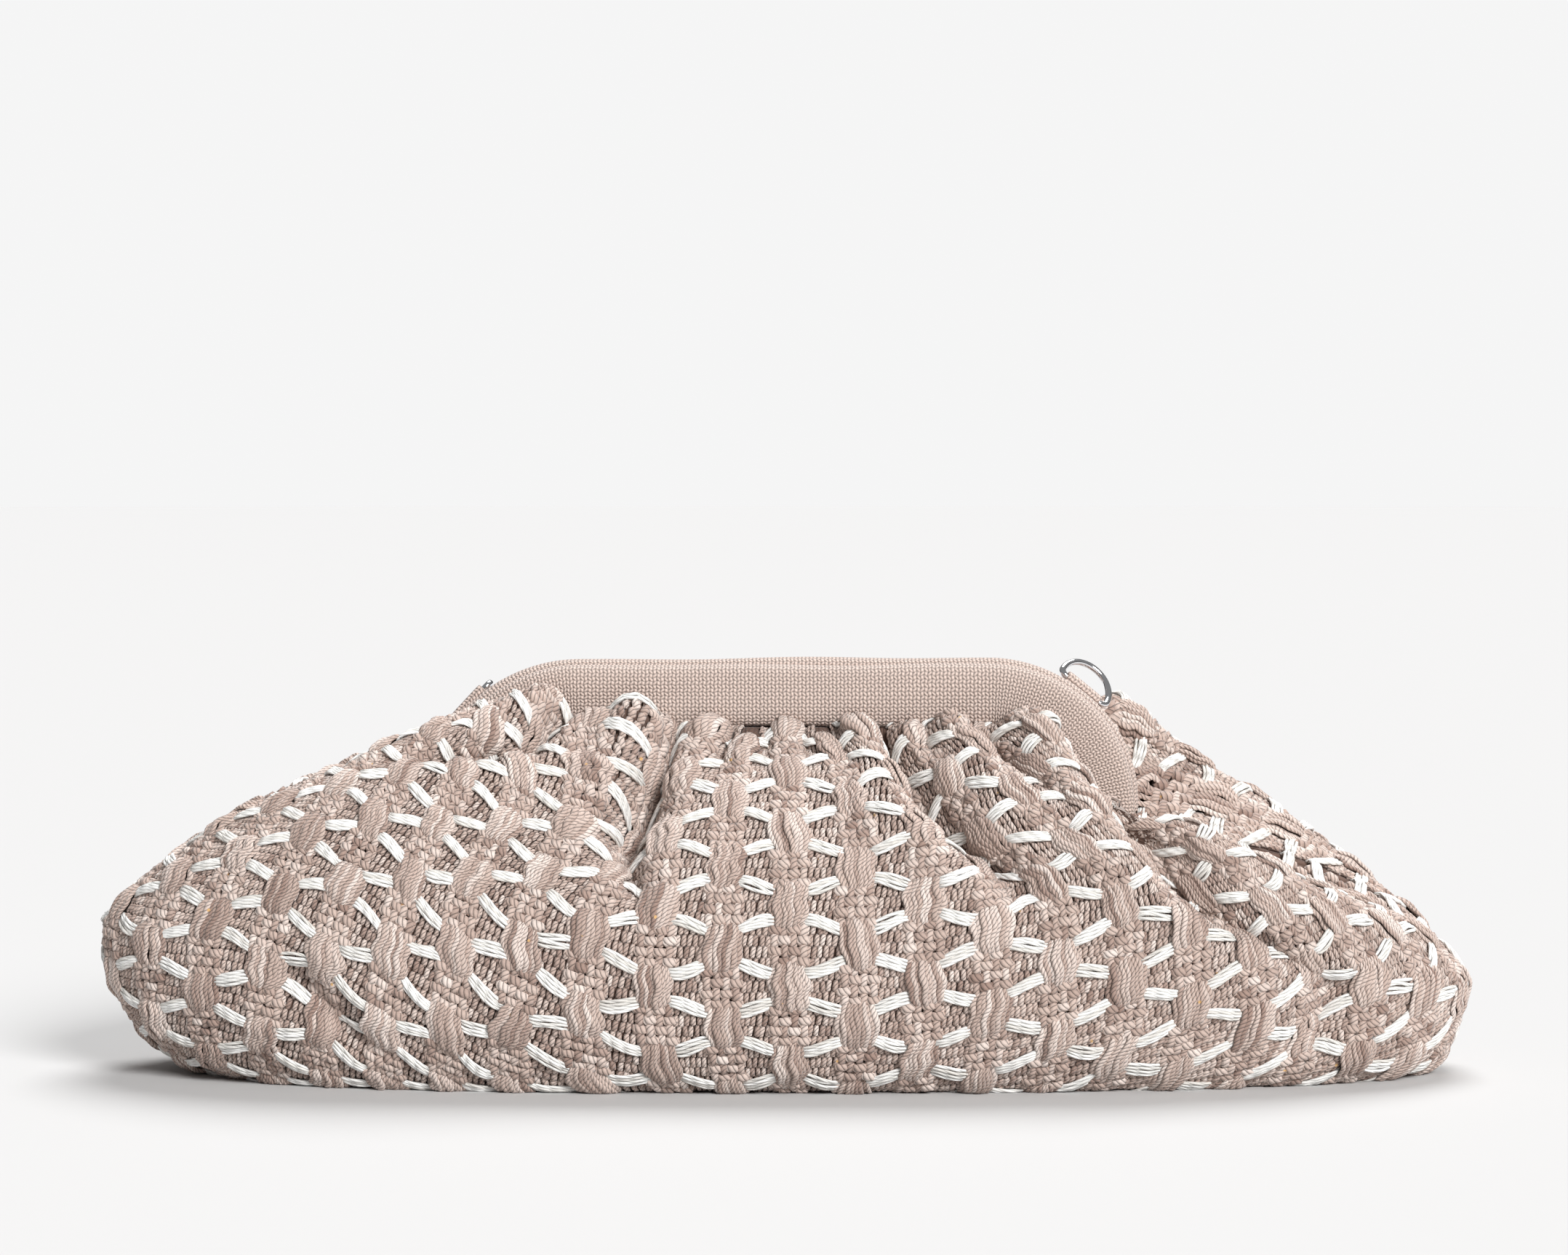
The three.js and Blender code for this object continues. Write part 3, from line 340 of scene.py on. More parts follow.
# %% The folds as depths under the smooth body
FOLD_ROUNDNESS = 1.9  # exponents of a fold's section and of a crown's
CROWN_ROUNDNESS = 2.6
CROWN_START = (0.0, 0.07)  # ways down over which the crowns and the folds set in
FOLD_START = (0.0, 0.08)
FOLD_END = (1.6, 2.0)  # and over which the folds die out above the floor
EDGE_SPAN = (0.97, 1.0)  # shares over which they do so at the side seams
HOLLOW_STOP = 1.6  # a hollow ends this far before the bag's middle plane


def fold_depth(place, down, side):
    """Depth under the smooth body: for each fold, its depth at this way down times exp(-|u|^FOLD_ROUNDNESS),
    with u the distance from its line in widths of that side."""
    depth = np.zeros(np.broadcast(place, down).shape)
    for line in FOLDS[side].values():
        share_at, down_at, left, right, deep = (np.array(column, float) for column in zip(*line))
        here = np.interp(down, down_at, deep, left=0 if down_at[0] > 0 else None, right=0)
        past = place - np.interp(down, down_at, share_at)
        width = np.where(past < 0, np.interp(down, down_at, left), np.interp(down, down_at, right))
        depth += here * np.exp(-np.abs(past / width) ** FOLD_ROUNDNESS)
    return depth


def crown_push(place, down, side):
    """Moves of the crowns, forward and up: round bumps that start at the seam."""
    push = np.zeros((*np.broadcast(place, down).shape, 3))
    for share_at, down_at, reach, fall, forward, up in CROWNS[side]:
        beside = np.abs((place - share_at) / reach) ** CROWN_ROUNDNESS
        bump = np.exp(-beside - ((down - down_at) / fall) ** 2)
        push += (bump * smooth(*CROWN_START, down))[..., None] * [0, -forward, up]
    return push


def places_of_threads(share, down, side):
    """Where each thread lies, level by level: spread evenly over the folded line, so that a hollow takes up
    more threads than a flat stretch. The line's stretch is sqrt(1 + slope^2)."""
    half = 600
    fine = np.linspace(-1, 1, 2 * half + 1)
    rows = down[:, 0]
    place, level = np.meshgrid(fine, rows, indexing="xy")
    spacing = np.linalg.norm(np.gradient(body_point(place, level, side), axis=1), axis=-1)
    slope = np.gradient(fold_depth(place, level, side), axis=1) / np.maximum(spacing, 1e-6)
    stretch = np.sqrt(1 + slope**2)
    steps = (stretch[:, 1:] + stretch[:, :-1]) / 2
    total = np.concatenate([np.zeros((len(rows), 1)), np.cumsum(steps, axis=1)], 1)
    middle = total[:, half : half + 1]
    spread = np.where(fine < 0, total / middle - 1, (total - middle) / (total[:, -1:] - middle))
    return np.stack([np.interp(share[i], spread[i], fine) for i in range(len(rows))])


def ripple(share, down, seed):
    """Slow unevenness of soft cloth: a sum of five sine waves with fixed, seeded directions and phases."""
    rng = np.random.default_rng(seed)
    total = np.zeros(np.broadcast(share, down).shape)
    for _ in range(5):
        fx, fd, phase = rng.uniform(3, 11), rng.uniform(1.5, 5), rng.uniform(0, 6.28)
        total += np.sin(fx * share + fd * down + phase)
    return total / 5


# %% [markdown]
# ## A map from flat cloth to the bag
# Yarns are easiest to lay out on flat cloth: `across` millimetres from the middle thread, and `below`
# millimetres under the belly. So each panel gets a fine grid of points with their outward directions, evenly
# spaced on the flat cloth. Anything drawn on the flat cloth is carried to the bag by looking up this grid.

# %% Build the map of a panel
YARN_ROOM = 1.3  # how far the cloth under the yarns lies inside the CAD surface
MAP_COLUMNS = 461
MAP_STEP = 1.0  # millimetres of cloth between the map's rows
COLUMN_PITCH = 19.4
RIGHT_CLIMB = 0.48  # mm that the rows climb on the right, times the square of the column's number
LEFT_CLIMB = 51.0  # mm that they climb in all on the left
LEFT_SPAN = (1.8, 8.7)  # columns over which they do so
COLUMN_BOW = (0.0105, 0.0165)  # how the columns on the left bow outwards, above and below the belly
BOW_REACH = 60.0
BOW_SPAN = (1.5, 4.5)
BELLY_ROW = 80  # the row of the grid that lies on the belly
downs = np.concatenate([
    np.linspace(0, 1, BELLY_ROW + 1), 1 + np.linspace(0, 1, 41)[1:], 2 + np.linspace(0, 1, 25)[1:]
])
shares = np.linspace(-1, 1, MAP_COLUMNS)


def surface_normals(points):
    """Outward unit directions: the cross product of the grid's downward and sideways steps."""
    down = np.gradient(points, axis=0)
    across = np.gradient(points, axis=1)
    return unit(np.cross(down, across))


def folded_sheet(side, down, share, inward):
    """Points of a sheet on a grid of ways down and shares: the smooth body, pushed in along its outward
    direction by the folds and by inward, and pushed up by the crowns. The back's points come out in front of
    the middle plane too, and are turned about afterwards."""
    place = places_of_threads(share, down, side)
    smooth_body = body_point(place, down, side)
    normal = surface_normals(smooth_body)
    quiet = (1 - smooth(*FOLD_END, down)) * smooth(*FOLD_START, down)
    edge = 1 - smooth(*EDGE_SPAN, np.abs(place))
    depth = (fold_depth(place, down, side) + ripple(share, down, len(side))) * quiet * edge
    points = smooth_body - normal * (depth + inward)[..., None]
    points = points + crown_push(place, down, side) * edge[..., None]
    points[..., 1] = np.minimum(points[..., 1], -SEAM_GAP / 2 - HOLLOW_STOP * edge)
    return points


def smooth_along(values, reach):
    """Running mean over the neighbouring columns, with the ends held."""
    padded = np.pad(values, ((0, 0), (reach, reach)), mode="edge")
    total = np.cumsum(np.pad(padded, ((0, 0), (1, 0))), axis=1)
    return (total[:, 2 * reach + 1 :] - total[:, : -2 * reach - 1]) / (2 * reach + 1)


def drape(across, below):
    """How the flat cloth hangs on the bag. The rows climb towards both ends, where the cloth is hitched up:
    with the square of the column's number on the right, and as a smooth step on the left. The columns there
    bow outwards by k u^2 / (1 + u / reach), with u the distance from the belly. Returns where the place ends
    up: millimetres from the middle, and under the belly."""
    column = across / COLUMN_PITCH
    climb = np.where(column > 0, RIGHT_CLIMB * column**2, LEFT_CLIMB * smooth(*LEFT_SPAN, -column))
    under = below - climb
    bow = np.where(under < 0, *COLUMN_BOW) * under**2 / (1 + np.abs(under) / BOW_REACH)
    return across - bow * smooth(*BOW_SPAN, -column), under


def cloth_map(side):
    """The panel's points and outward directions on an even grid. Its rows are measured along the folded
    cloth, down and up from the belly."""
    down, share = np.meshgrid(downs, shares, indexing="ij")
    points = folded_sheet(side, down, share, YARN_ROOM)
    steps = smooth_along(np.linalg.norm(np.diff(points, axis=0), axis=-1), 8)
    length = np.concatenate([np.zeros((1, MAP_COLUMNS)), np.cumsum(steps, axis=0)])
    below = length - length[BELLY_ROW]
    rows = np.arange(below.min(), below.max() + MAP_STEP, MAP_STEP)

    def evenly(values):
        """Values of the loft's grid on the even rows, column by column."""
        return np.stack([np.interp(rows, below[:, j], values[:, j]) for j in range(MAP_COLUMNS)], 1)

    chart = {"side": side, "first": rows[0], "top": below[0], "end": below[-1]}
    chart["down"] = evenly(np.broadcast_to(downs[:, None], below.shape))
    for key, values in (("points", points), ("normals", surface_normals(points))):
        chart[key] = np.stack([evenly(values[..., k]) for k in range(3)], -1)
        if side == "back":
            chart[key][..., 1] *= -1
    return chart


maps = {side: cloth_map(side) for side in ("front", "back")}
for side, chart in maps.items():
    print(side, "cloth is", round(float((chart["end"] - chart["top"]).mean())), "mm long on average")


# %% Look things up on the map
def lookup(chart, key, across, below):
    """Blend of the four grid values round each place on the flat cloth (bilinear interpolation)."""
    grid = chart[key]
    across, below = drape(across, below)
    column = np.clip((across / HALF_CLOTH + 1) / 2 * (MAP_COLUMNS - 1), 0, MAP_COLUMNS - 1.001)
    row = np.clip((below - chart["first"]) / MAP_STEP, 0, len(grid) - 1.001)
    i, j = row.astype(int), column.astype(int)
    u, v = row - i, column - j
    if grid.ndim == 3:
        u, v = u[..., None], v[..., None]
    upper = mix(grid[i, j], grid[i, j + 1], v)
    lower = mix(grid[i + 1, j], grid[i + 1, j + 1], v)
    return mix(upper, lower, u)


def on_cloth(chart, across, below, height):
    """Carries places on the flat cloth, with a height over it, to the bag: points and outward directions."""
    normal = unit(lookup(chart, "normals", across, below))
    point = lookup(chart, "points", across, below) + normal * height[..., None]
    return point, normal


SIDE_MARGIN = 1.5  # yarns stay this far from the side seams
YARN_END = 2.25  # and end this way down, under the bag


def inside_cloth(chart, across, below, margin):
    """True where a place lies on the panel, at least margin under its gathered seam."""
    way = lookup(chart, "down", across, below)
    aside, under = drape(across, below)
    top = np.interp(aside, shares * HALF_CLOTH, chart["top"])
    return (np.abs(aside) < HALF_CLOTH - SIDE_MARGIN) & (under > top + margin) & (way < YARN_END)


# %% [markdown]
# ## Making meshes from arrays
# Two kinds of shapes are worked out as arrays and made into Blender meshes: open grids for sheets of cloth,
# and closed tubes along many lines at once for yarns. Each point can carry a `shade`, a number of its yarn's
# own, so that no two yarns have quite the same colour. Each corner can carry a UV place along and round its
# yarn, which the pattern of the twist follows. Arrays are used because a panel has thousands of yarns.


# %% From arrays to a mesh object
def new_piece(name, points_mm, face_sets, shade=None, uv=None):
    """Makes an object from points in millimetres and sets of faces with equal corner counts."""
    mesh = bpy.data.meshes.new(name)
    corners = np.concatenate([f.reshape(-1) for f in face_sets]).astype(np.int32)
    sizes = np.concatenate([np.full(len(f), f.shape[1]) for f in face_sets])
    starts = np.concatenate([[0], np.cumsum(sizes)[:-1]]).astype(np.int32)
    mesh.vertices.add(len(points_mm))
    mesh.vertices.foreach_set("co", (points_mm * MM).astype(np.float32).ravel())
    mesh.loops.add(len(corners))
    mesh.loops.foreach_set("vertex_index", corners)
    mesh.polygons.add(len(sizes))
    mesh.polygons.foreach_set("loop_start", starts)
    mesh.polygons.foreach_set("use_smooth", np.full(len(sizes), True))
    if uv is not None:
        layer = mesh.uv_layers.new(name="UVMap")
        layer.uv.foreach_set("vector", uv[corners].astype(np.float32).ravel())
    if shade is not None:
        mesh.attributes.new("shade", "FLOAT", "POINT").data.foreach_set("value", shade.astype(np.float32))
    mesh.update(calc_edges=True)
    obj = bpy.data.objects.new(name, mesh)
    bpy.context.scene.collection.objects.link(obj)
    return obj


def grid_faces(rows, columns, close_columns=False):
    """Quads between neighbours of a grid of points, and round to the first column if it closes."""
    i, j = np.meshgrid(np.arange(rows - 1), np.arange(columns - (not close_columns)), indexing="ij")
    ahead = (j + 1) % columns
    quads = [i * columns + j, (i + 1) * columns + j, (i + 1) * columns + ahead, i * columns + ahead]
    return np.stack(quads, -1).reshape(-1, 4)


def grid_uv(across, along):
    """UV places in centimetres: one unit is 10 mm, so that patterns keep their real size."""
    return np.stack(np.broadcast_arrays(across, along), -1).reshape(-1, 2) / 10


WAY_LENGTH = 60.0  # millimetres of cloth that one step of the way down counts for in a UV place


def sheet_piece(name, side, points, share, down):
    """A sheet's open grid as a mesh, turned about the middle plane for the back."""
    faces = grid_faces(*points.shape[:2])
    if side == "back":
        points[..., 1] *= -1
        faces = faces[:, ::-1]
    uv = grid_uv(share * HALF_CLOTH, down * WAY_LENGTH)
    return new_piece(name, points.reshape(-1, 3), [faces], uv=uv)


def tube_rings(centre, up, wide, high, sides):
    """Rings of many tubes: centre + wide cos(angle) side + high sin(angle) up, with side square to up and to
    the tube's own direction. centre is (tubes, rings, 3)."""
    run = unit(np.gradient(centre, axis=1))
    side = unit(np.cross(run, up))
    over = np.cross(side, run)
    angle = np.arange(sides) / sides * 2 * np.pi
    flat = wide[..., None, None] * np.cos(angle)[None, None, :, None] * side[:, :, None, :]
    tall = high[..., None, None] * np.sin(angle)[None, None, :, None] * over[:, :, None, :]
    return centre[:, :, None, :] + flat + tall


def tube_faces(tubes, rings, sides):
    """Quads along every tube and one face over each of its ends."""
    one = grid_faces(rings, sides, close_columns=True)
    start = np.arange(tubes)[:, None, None] * rings * sides
    quads = (one[None] + start).reshape(-1, 4)
    first = np.arange(sides)[None] + start[:, :, 0]
    last = first[:, ::-1] + (rings - 1) * sides
    return [quads, np.concatenate([first, last])]


FILL = 0.62  # share of the way from yarn to yarn that a yarn of a bundle fills
MOST_WIDENING = 1.9
LOWEST_YARN = 0.05  # height over the floor at which yarns under the bag are pressed flat


def thicken(centre, wide, strands):
    """Half widths of the yarns of each bundle, widened where the cloth is stretched: FILL of the way from
    yarn to yarn, and at most MOST_WIDENING times as wide as they were."""
    sets = centre.reshape(-1, strands, *centre.shape[1:])
    apart = np.linalg.norm(np.diff(sets, axis=1), axis=-1)
    before = np.concatenate([apart[:, :1], apart], axis=1)
    after = np.concatenate([apart, apart[:, -1:]], axis=1)
    room = FILL / 2 * (before + after).reshape(wide.shape)
    return np.clip(room, wide, MOST_WIDENING * wide)


def yarn_piece(name, chart, across, below, height, wide, high, sides, shade, strands=None):
    """Lays many yarns on the cloth. across, below and height are (yarns, rings) on the flat cloth. Yarns that
    lie side by side in bundles of so many strands fill the room between them."""
    centre, up = on_cloth(chart, across, below, height)
    if strands:
        wide = thicken(centre, wide, strands)
    rings = tube_rings(centre, up, wide, high, sides)
    rings[..., 2] = np.maximum(rings[..., 2], LOWEST_YARN)
    tubes, count = across.shape
    faces = tube_faces(tubes, count, sides)
    if chart["side"] == "back":
        faces = [f[:, ::-1] for f in faces]
    steps = np.linalg.norm(np.diff(centre, axis=1), axis=-1)
    along = np.concatenate([np.zeros((tubes, 1)), np.cumsum(steps, axis=1)], axis=1)
    around = np.arange(sides) / sides
    uv = np.stack(np.broadcast_arrays(along[:, :, None] / 10, around[None, None, :]), -1)
    shades = np.broadcast_to(shade[:, None, None], (tubes, count, sides))
    name = f"{chart['side']}_{name}"
    return new_piece(name, rings.reshape(-1, 3), faces, shades.reshape(-1), uv.reshape(-1, 2))


# %% [markdown]
# ## The honeycomb weave
# The columns of the cloth lie 19.4 mm apart and repeat every 23.3 mm down, each half a repeat lower than the
# last. A column holds, in turn, a raised bundle of loose mauve yarns and a small patch of basket weave.
# Between the columns the cloth is a field of short upright ribs. Thick off-white yarns run from bundle to
# bundle in a zigzag and pass under each of them. Every one of these is built as real yarn over a thin base
# cloth, because a painted or dented surface looks flat at the bag's outline.

# %% Sizes of the weave
ROW_PITCH = 23.3
COLUMN_SHIFT = 1.5  # the middle column lies this far right of the bag's middle
ROW_SHIFT = -15.8  # a bundle of the middle column lies this far above the belly
BUNDLE_HALF = 7.8  # half the length of a bundle
BUNDLE_YARNS = 9
BUNDLE_WIDTH = 11.0
BUNDLE_SINK = -0.5  # where the yarns of a bundle end, under the surface
BUNDLE_LIFT = 1.9  # how far its outer yarns rise from there, and how much further its middle ones do
BUNDLE_ARCH = 1.5
BUNDLE_YARN = 0.68  # half widths of its yarns and of the off-white ones
FLOAT_YARN = 0.55
FLOAT_YARNS = 4
FLOAT_SINK = 0.2
FLOAT_LIFT = 1.9
FLOAT_DROP = 4.1  # from a bundle's middle to the off-white yarn that crosses under it
FLOAT_START = 2.6  # how far from the bundle's middle it dives under
FLOAT_FAN = 1.5  # half the width of the off-white yarns side by side
RIB_PITCH = 1.75
RIB_ROW = 3.3
RIB_CLEARANCE = 4.1  # half the width of a column, which the ribs leave free
RIB_LEAN = -0.12  # in radians
BASKET_PITCH = 2.75
BASKET_ROW = 3.1
BUNDLE_MARGIN = -3.0  # bundles and off-white yarns may start above the seam, short yarns start under it
FLOAT_MARGIN = -0.5
GRAIN_MARGIN = 0.6
YARN_SIDES = 6
GRAIN_SIDES = 5


# %% Where the bundles lie
def repeats(first_column, *more):
    """Places of the weave's repeats on the flat cloth: columns side by side, every second one half a row
    lower, once for each value of more."""
    k, n, *rest = np.meshgrid(np.arange(first_column, 14), np.arange(-7, 12), *more, indexing="ij")
    across = COLUMN_SHIFT + k * COLUMN_PITCH
    below = ROW_SHIFT + n * ROW_PITCH + np.where(k % 2 == 0, 0.0, ROW_PITCH / 2)
    return [values.ravel() for values in (across, below, *rest)]


def bundle_places(chart):
    """Middles of the bundles on the panel, each a little out of its place."""
    across, below = repeats(-13)
    rng = np.random.default_rng(5)
    across = across + rng.normal(0, 0.35, across.shape)
    below = below + rng.normal(0, 0.5, below.shape)
    keep = inside_cloth(chart, across, below, BUNDLE_MARGIN)
    return across[keep], below[keep]


# %% Raised bundles of mauve yarn
def lay_bundles(chart):
    """Each bundle is a fan of yarns, pinched at both ends: the spread follows 0.7 + 0.3 cos, the height a
    half ellipse along the bundle, taken to the power 0.65, and a low arch across it. The yarns are crimped in
    step, as sine waves."""
    x, y = bundle_places(chart)
    rng = np.random.default_rng(11)
    rings = 11
    t = np.linspace(-1, 1, rings)[None, None, :]
    slot = np.linspace(-1, 1, BUNDLE_YARNS)[None, :, None]
    each, size = (len(x), 1, 1), (len(x), BUNDLE_YARNS, 1)
    whole = (len(x), BUNDLE_YARNS, rings)
    spread = (0.7 + 0.3 * np.cos(t * 1.5)) * rng.uniform(0.92, 1.12, each)
    lean = rng.normal(0, 0.8, each) + rng.normal(0, 0.2, size)
    start = rng.uniform(0, 6.28, each) + 0.9 * slot + rng.normal(0, 0.35, size)
    crimp = rng.uniform(0.3, 0.75, each) * np.sin(t * rng.uniform(4.5, 7.5, each) + start) * (1 - t**4)
    across = x[:, None, None] + slot * (BUNDLE_WIDTH / 2 - 0.5) * spread + lean * t + crimp
    length = BUNDLE_HALF * rng.uniform(0.92, 1.06, each) * (1 - 0.08 * slot**2)
    below = y[:, None, None] + t * length
    arch = np.sqrt(np.clip(1 - 0.85 * slot**2, 0, 1))
    over = np.sqrt(np.clip(1 - (0.985 * t) ** 2, 0, 1))
    loose = rng.normal(0, 0.32, size) + 0.2 * np.sin(t * 6 + start * 2)
    height = BUNDLE_SINK + over**0.65 * (BUNDLE_LIFT + BUNDLE_ARCH * arch + loose)
    wide = np.broadcast_to(BUNDLE_YARN * (0.62 + 0.38 * over), whole).reshape(-1, rings)
    shade = np.clip(rng.normal(0.5, 0.08, len(x))[:, None] + rng.normal(0, 0.24, whole[:2]), 0, 1)
    flat = [np.broadcast_to(v, whole).reshape(-1, rings) for v in (across, below, height)]
    return yarn_piece("bundles", chart, *flat, wide, wide * 0.9, YARN_SIDES, shade.ravel(), BUNDLE_YARNS)


# %% Off-white yarns from bundle to bundle
def lay_floats(chart):
    """Each float runs from under one bundle to under its half-dropped neighbour, up or down, as four yarns
    side by side. The bundle of yarns bellies in the middle of its run and dives at both ends."""
    rng = np.random.default_rng(23)
    x0, y0, way = repeats(-14, (-1, 1))
    y0 = y0 + way * FLOAT_DROP
    y1 = y0 + way * (ROW_PITCH / 2 - 2 * FLOAT_DROP)
    keep = inside_cloth(chart, x0 + COLUMN_PITCH / 2, (y0 + y1) / 2, FLOAT_MARGIN)
    x0, y0, y1 = x0[keep], y0[keep], y1[keep]
    rings = 9
    t = np.linspace(0, 1, rings)[None, None, :]
    slot = np.linspace(-1, 1, FLOAT_YARNS)[None, :, None]
    size = (len(x0), FLOAT_YARNS, 1)
    across = x0[:, None, None] + mix(FLOAT_START, COLUMN_PITCH - FLOAT_START, t)
    slope = smooth(0.0, 1.0, t)
    belly = np.sin(np.pi * t)
    fan = FLOAT_FAN * (0.76 + 0.24 * belly) * rng.uniform(0.85, 1.12, (len(x0), 1, 1))
    sag = rng.normal(0, 0.5, (len(x0), 1, 1)) * belly
    cross = rng.normal(0, 0.16, size) * np.sin(np.pi * t * 2 + rng.uniform(0, 6.28, size))
    below = mix(y0[:, None, None], y1[:, None, None], slope) + slot * fan + sag + cross
    height = FLOAT_SINK + FLOAT_LIFT * belly**0.55 + 0.2 * (1 - slot**2) + rng.normal(0, 0.12, size)
    whole = (len(x0), FLOAT_YARNS, rings)
    wide = np.broadcast_to(FLOAT_YARN * (0.8 + 0.2 * belly), whole).reshape(-1, rings)
    shade = np.clip(rng.normal(0.5, 0.28, whole[:2]), 0, 1)
    flat = [np.broadcast_to(v, whole).reshape(-1, rings) for v in (across, below, height)]
    return yarn_piece("floats", chart, *flat, wide, wide * 0.95, YARN_SIDES, shade.ravel())


# %% Short yarns: the ribs and the basket patches
def stretch_at(chart, x, y, angle):
    """How many times longer a millimetre square to the yarn is on the bag than on the flat cloth."""
    aside, under = np.cos(angle) / 2, np.sin(angle) / 2
    one = lookup(chart, "points", x - aside, y - under)
    other = lookup(chart, "points", x + aside, y + under)
    return np.linalg.norm(other - one, axis=-1)


def lay_grains(name, chart, x, y, angle, length, width, height, seed):
    """Short yarns that dive at both ends: four rings along a line at its angle, the middle two raised."""
    rng = np.random.default_rng(seed)
    t = np.array([-1.0, -0.55, 0.55, 1.0])[None]
    arch = np.array([0.25, 1.0, 1.0, 0.25])[None]
    turn = angle + rng.normal(0, 0.07, x.shape)
    half = (length / 2 * rng.uniform(0.92, 1.08, x.shape))[:, None]
    across = (x + rng.normal(0, 0.09, x.shape))[:, None] + np.sin(turn)[:, None] * half * t
    below = (y + rng.normal(0, 0.12, x.shape))[:, None] + np.cos(turn)[:, None] * half * t
    lift = (height * rng.uniform(0.85, 1.15, x.shape))[:, None] * (arch - 0.2)
    stretch = np.clip(stretch_at(chart, x, y, angle), 0.85, 1.7)
    half_width = width / 2 * rng.uniform(0.92, 1.08, x.shape) * stretch
    wide = half_width[:, None] * (0.35 + 0.65 * arch)
    shade = np.clip(rng.normal(0.5, 0.24, x.shape), 0, 1)
    return yarn_piece(name, chart, across, below, lift, wide, wide * 0.8, GRAIN_SIDES, shade)


def lay_ribs(chart):
    """Ribs fill the cloth between the columns in rows, every second one half a rib to the side."""
    columns = np.arange(int(-HALF_CLOTH / RIB_PITCH), int(HALF_CLOTH / RIB_PITCH) + 1)
    i, j = np.meshgrid(columns, np.arange(-40, 66), indexing="ij")
    x = (i + 0.5 * (j % 2)) * RIB_PITCH + COLUMN_SHIFT
    y = j * RIB_ROW + ROW_SHIFT
    x, y = x.ravel(), y.ravel()
    beside = np.abs((x - COLUMN_SHIFT + COLUMN_PITCH / 2) % COLUMN_PITCH - COLUMN_PITCH / 2)
    keep = (beside > RIB_CLEARANCE) & inside_cloth(chart, x, y, GRAIN_MARGIN)
    return lay_grains("ribs", chart, x[keep], y[keep], RIB_LEAN, length=4.0, width=1.7, height=1.0, seed=31)


def lay_baskets(chart):
    """Basket patches fill the columns between the bundles: upright and level yarns by turns, as on a draughts
    board. The level ones are shorter and thicker."""
    x0, y0 = bundle_places(chart)
    i, j = np.meshgrid(np.array([-1.5, -0.5, 0.5, 1.5]), np.array([-1.2, -0.2, 0.8, 1.8]), indexing="ij")
    i, j = i.ravel(), j.ravel()
    parity = (np.round(i + 1.5) + np.round(j + 1.2)).astype(int) % 2
    x = (x0[:, None] + i[None] * BASKET_PITCH).ravel()
    y = (y0[:, None] + ROW_PITCH / 2 + (j[None] - 0.3) * BASKET_ROW).ravel()
    level = np.broadcast_to(parity[None] == 0, (len(x0), len(i))).ravel()
    keep = inside_cloth(chart, x, y, GRAIN_MARGIN)
    x, y, level = x[keep], y[keep], level[keep]
    angle = np.where(level, np.pi / 2, 0.0)
    length = np.where(level, 4.5, 4.9)
    width = np.where(level, 3.2, 2.7)
    height = np.where(level, 1.5, 1.35)
    return lay_grains("baskets", chart, x, y, angle, length, width, height, seed=43)


# %% [markdown]
# ## The base cloth
# Under the yarns lies one thin sheet per panel, in the colour of the cloth's shadows. It closes the gaps
# between the yarns and carries the panel's shape, so it is the piece that stands for the CAD panel. An open
# sheet is enough, because the lining hides its inner face.


# %% Base cloth of each panel
LOWEST_CLOTH = 0.02  # its height over the floor


def lay_base(side):
    """The folded sheet itself on every second place of the map, from the seam to the bottom's middle."""
    down, share = np.meshgrid(downs[::2], shares[::2], indexing="ij")
    points = folded_sheet(side, down, share, YARN_ROOM)
    points[..., 2] = np.maximum(points[..., 2], LOWEST_CLOTH)
    return sheet_piece(f"{side}_cloth", side, points, share, down)


panels = {}
for side, chart in maps.items():
    panels[side] = [lay_base(side)] + [lay(chart) for lay in (lay_bundles, lay_floats, lay_ribs, lay_baskets)]
    for obj in panels[side]:
        print(obj.name, "has", len(obj.data.polygons), "faces")


# %% [markdown]
# ## The padded canvas casings
# Each half of the frame is pushed into a sleeve of plain canvas with soft padding in it. The sleeve is one
# rounded section carried along the hoop, which keeps its width even round the corners. Its skin is not quite
# smooth: it dimples a little all along, as stuffed canvas does.


# %% A section carried along the hoop
def superellipse(roundness, sides):
    """Points of |x|^r + |y|^r = 1, which lies between a circle and a square."""
    angle = (np.arange(sides) + 0.5) / sides * 2 * np.pi
    c, s = np.cos(angle), np.sin(angle)
    r = (np.abs(c) ** roundness + np.abs(s) ** roundness) ** (-1 / roundness)
    return r * c, r * s


def section(outer, inner, depth, roundness, sides):
    """A superellipse between two insets, scaled to the band's half height and half depth."""
    x, y = superellipse(roundness, sides)
    return (outer + inner) / 2 + (inner - outer) / 2 * x, depth / 2 * y


def hoop_frame(foot, spacing=1.2):
    """Evenly spaced points of the hoop's outer edge, the inward direction at each, and its distance along."""
    line = hoop(0, foot, 48)
    length = path_lengths(line)
    at = np.linspace(0, length[-1], int(length[-1] / spacing) + 1)
    even = np.column_stack([np.interp(at, length, line[:, k]) for k in range(2)])
    return even, right_of(unit(np.gradient(even, axis=0))), at


def face_out(obj):
    """Turns a closed mesh the right way out if its volume comes out negative."""
    made = bmesh.new()
    made.from_mesh(obj.data)
    if made.calc_volume(signed=True) < 0:
        bmesh.ops.reverse_faces(made, faces=made.faces)
        made.to_mesh(obj.data)
    made.free()
    return obj


def closed_strip(name, points, section_x, section_y, at):
    """A piece from sections carried along a path, closed at its ends, with UV places along and round it."""
    uv = grid_uv(path_lengths(np.column_stack([section_x, section_y]))[None, :], at[:, None])
    return face_out(new_piece(name, points.reshape(-1, 3), tube_faces(1, *points.shape[:2]), uv=uv))


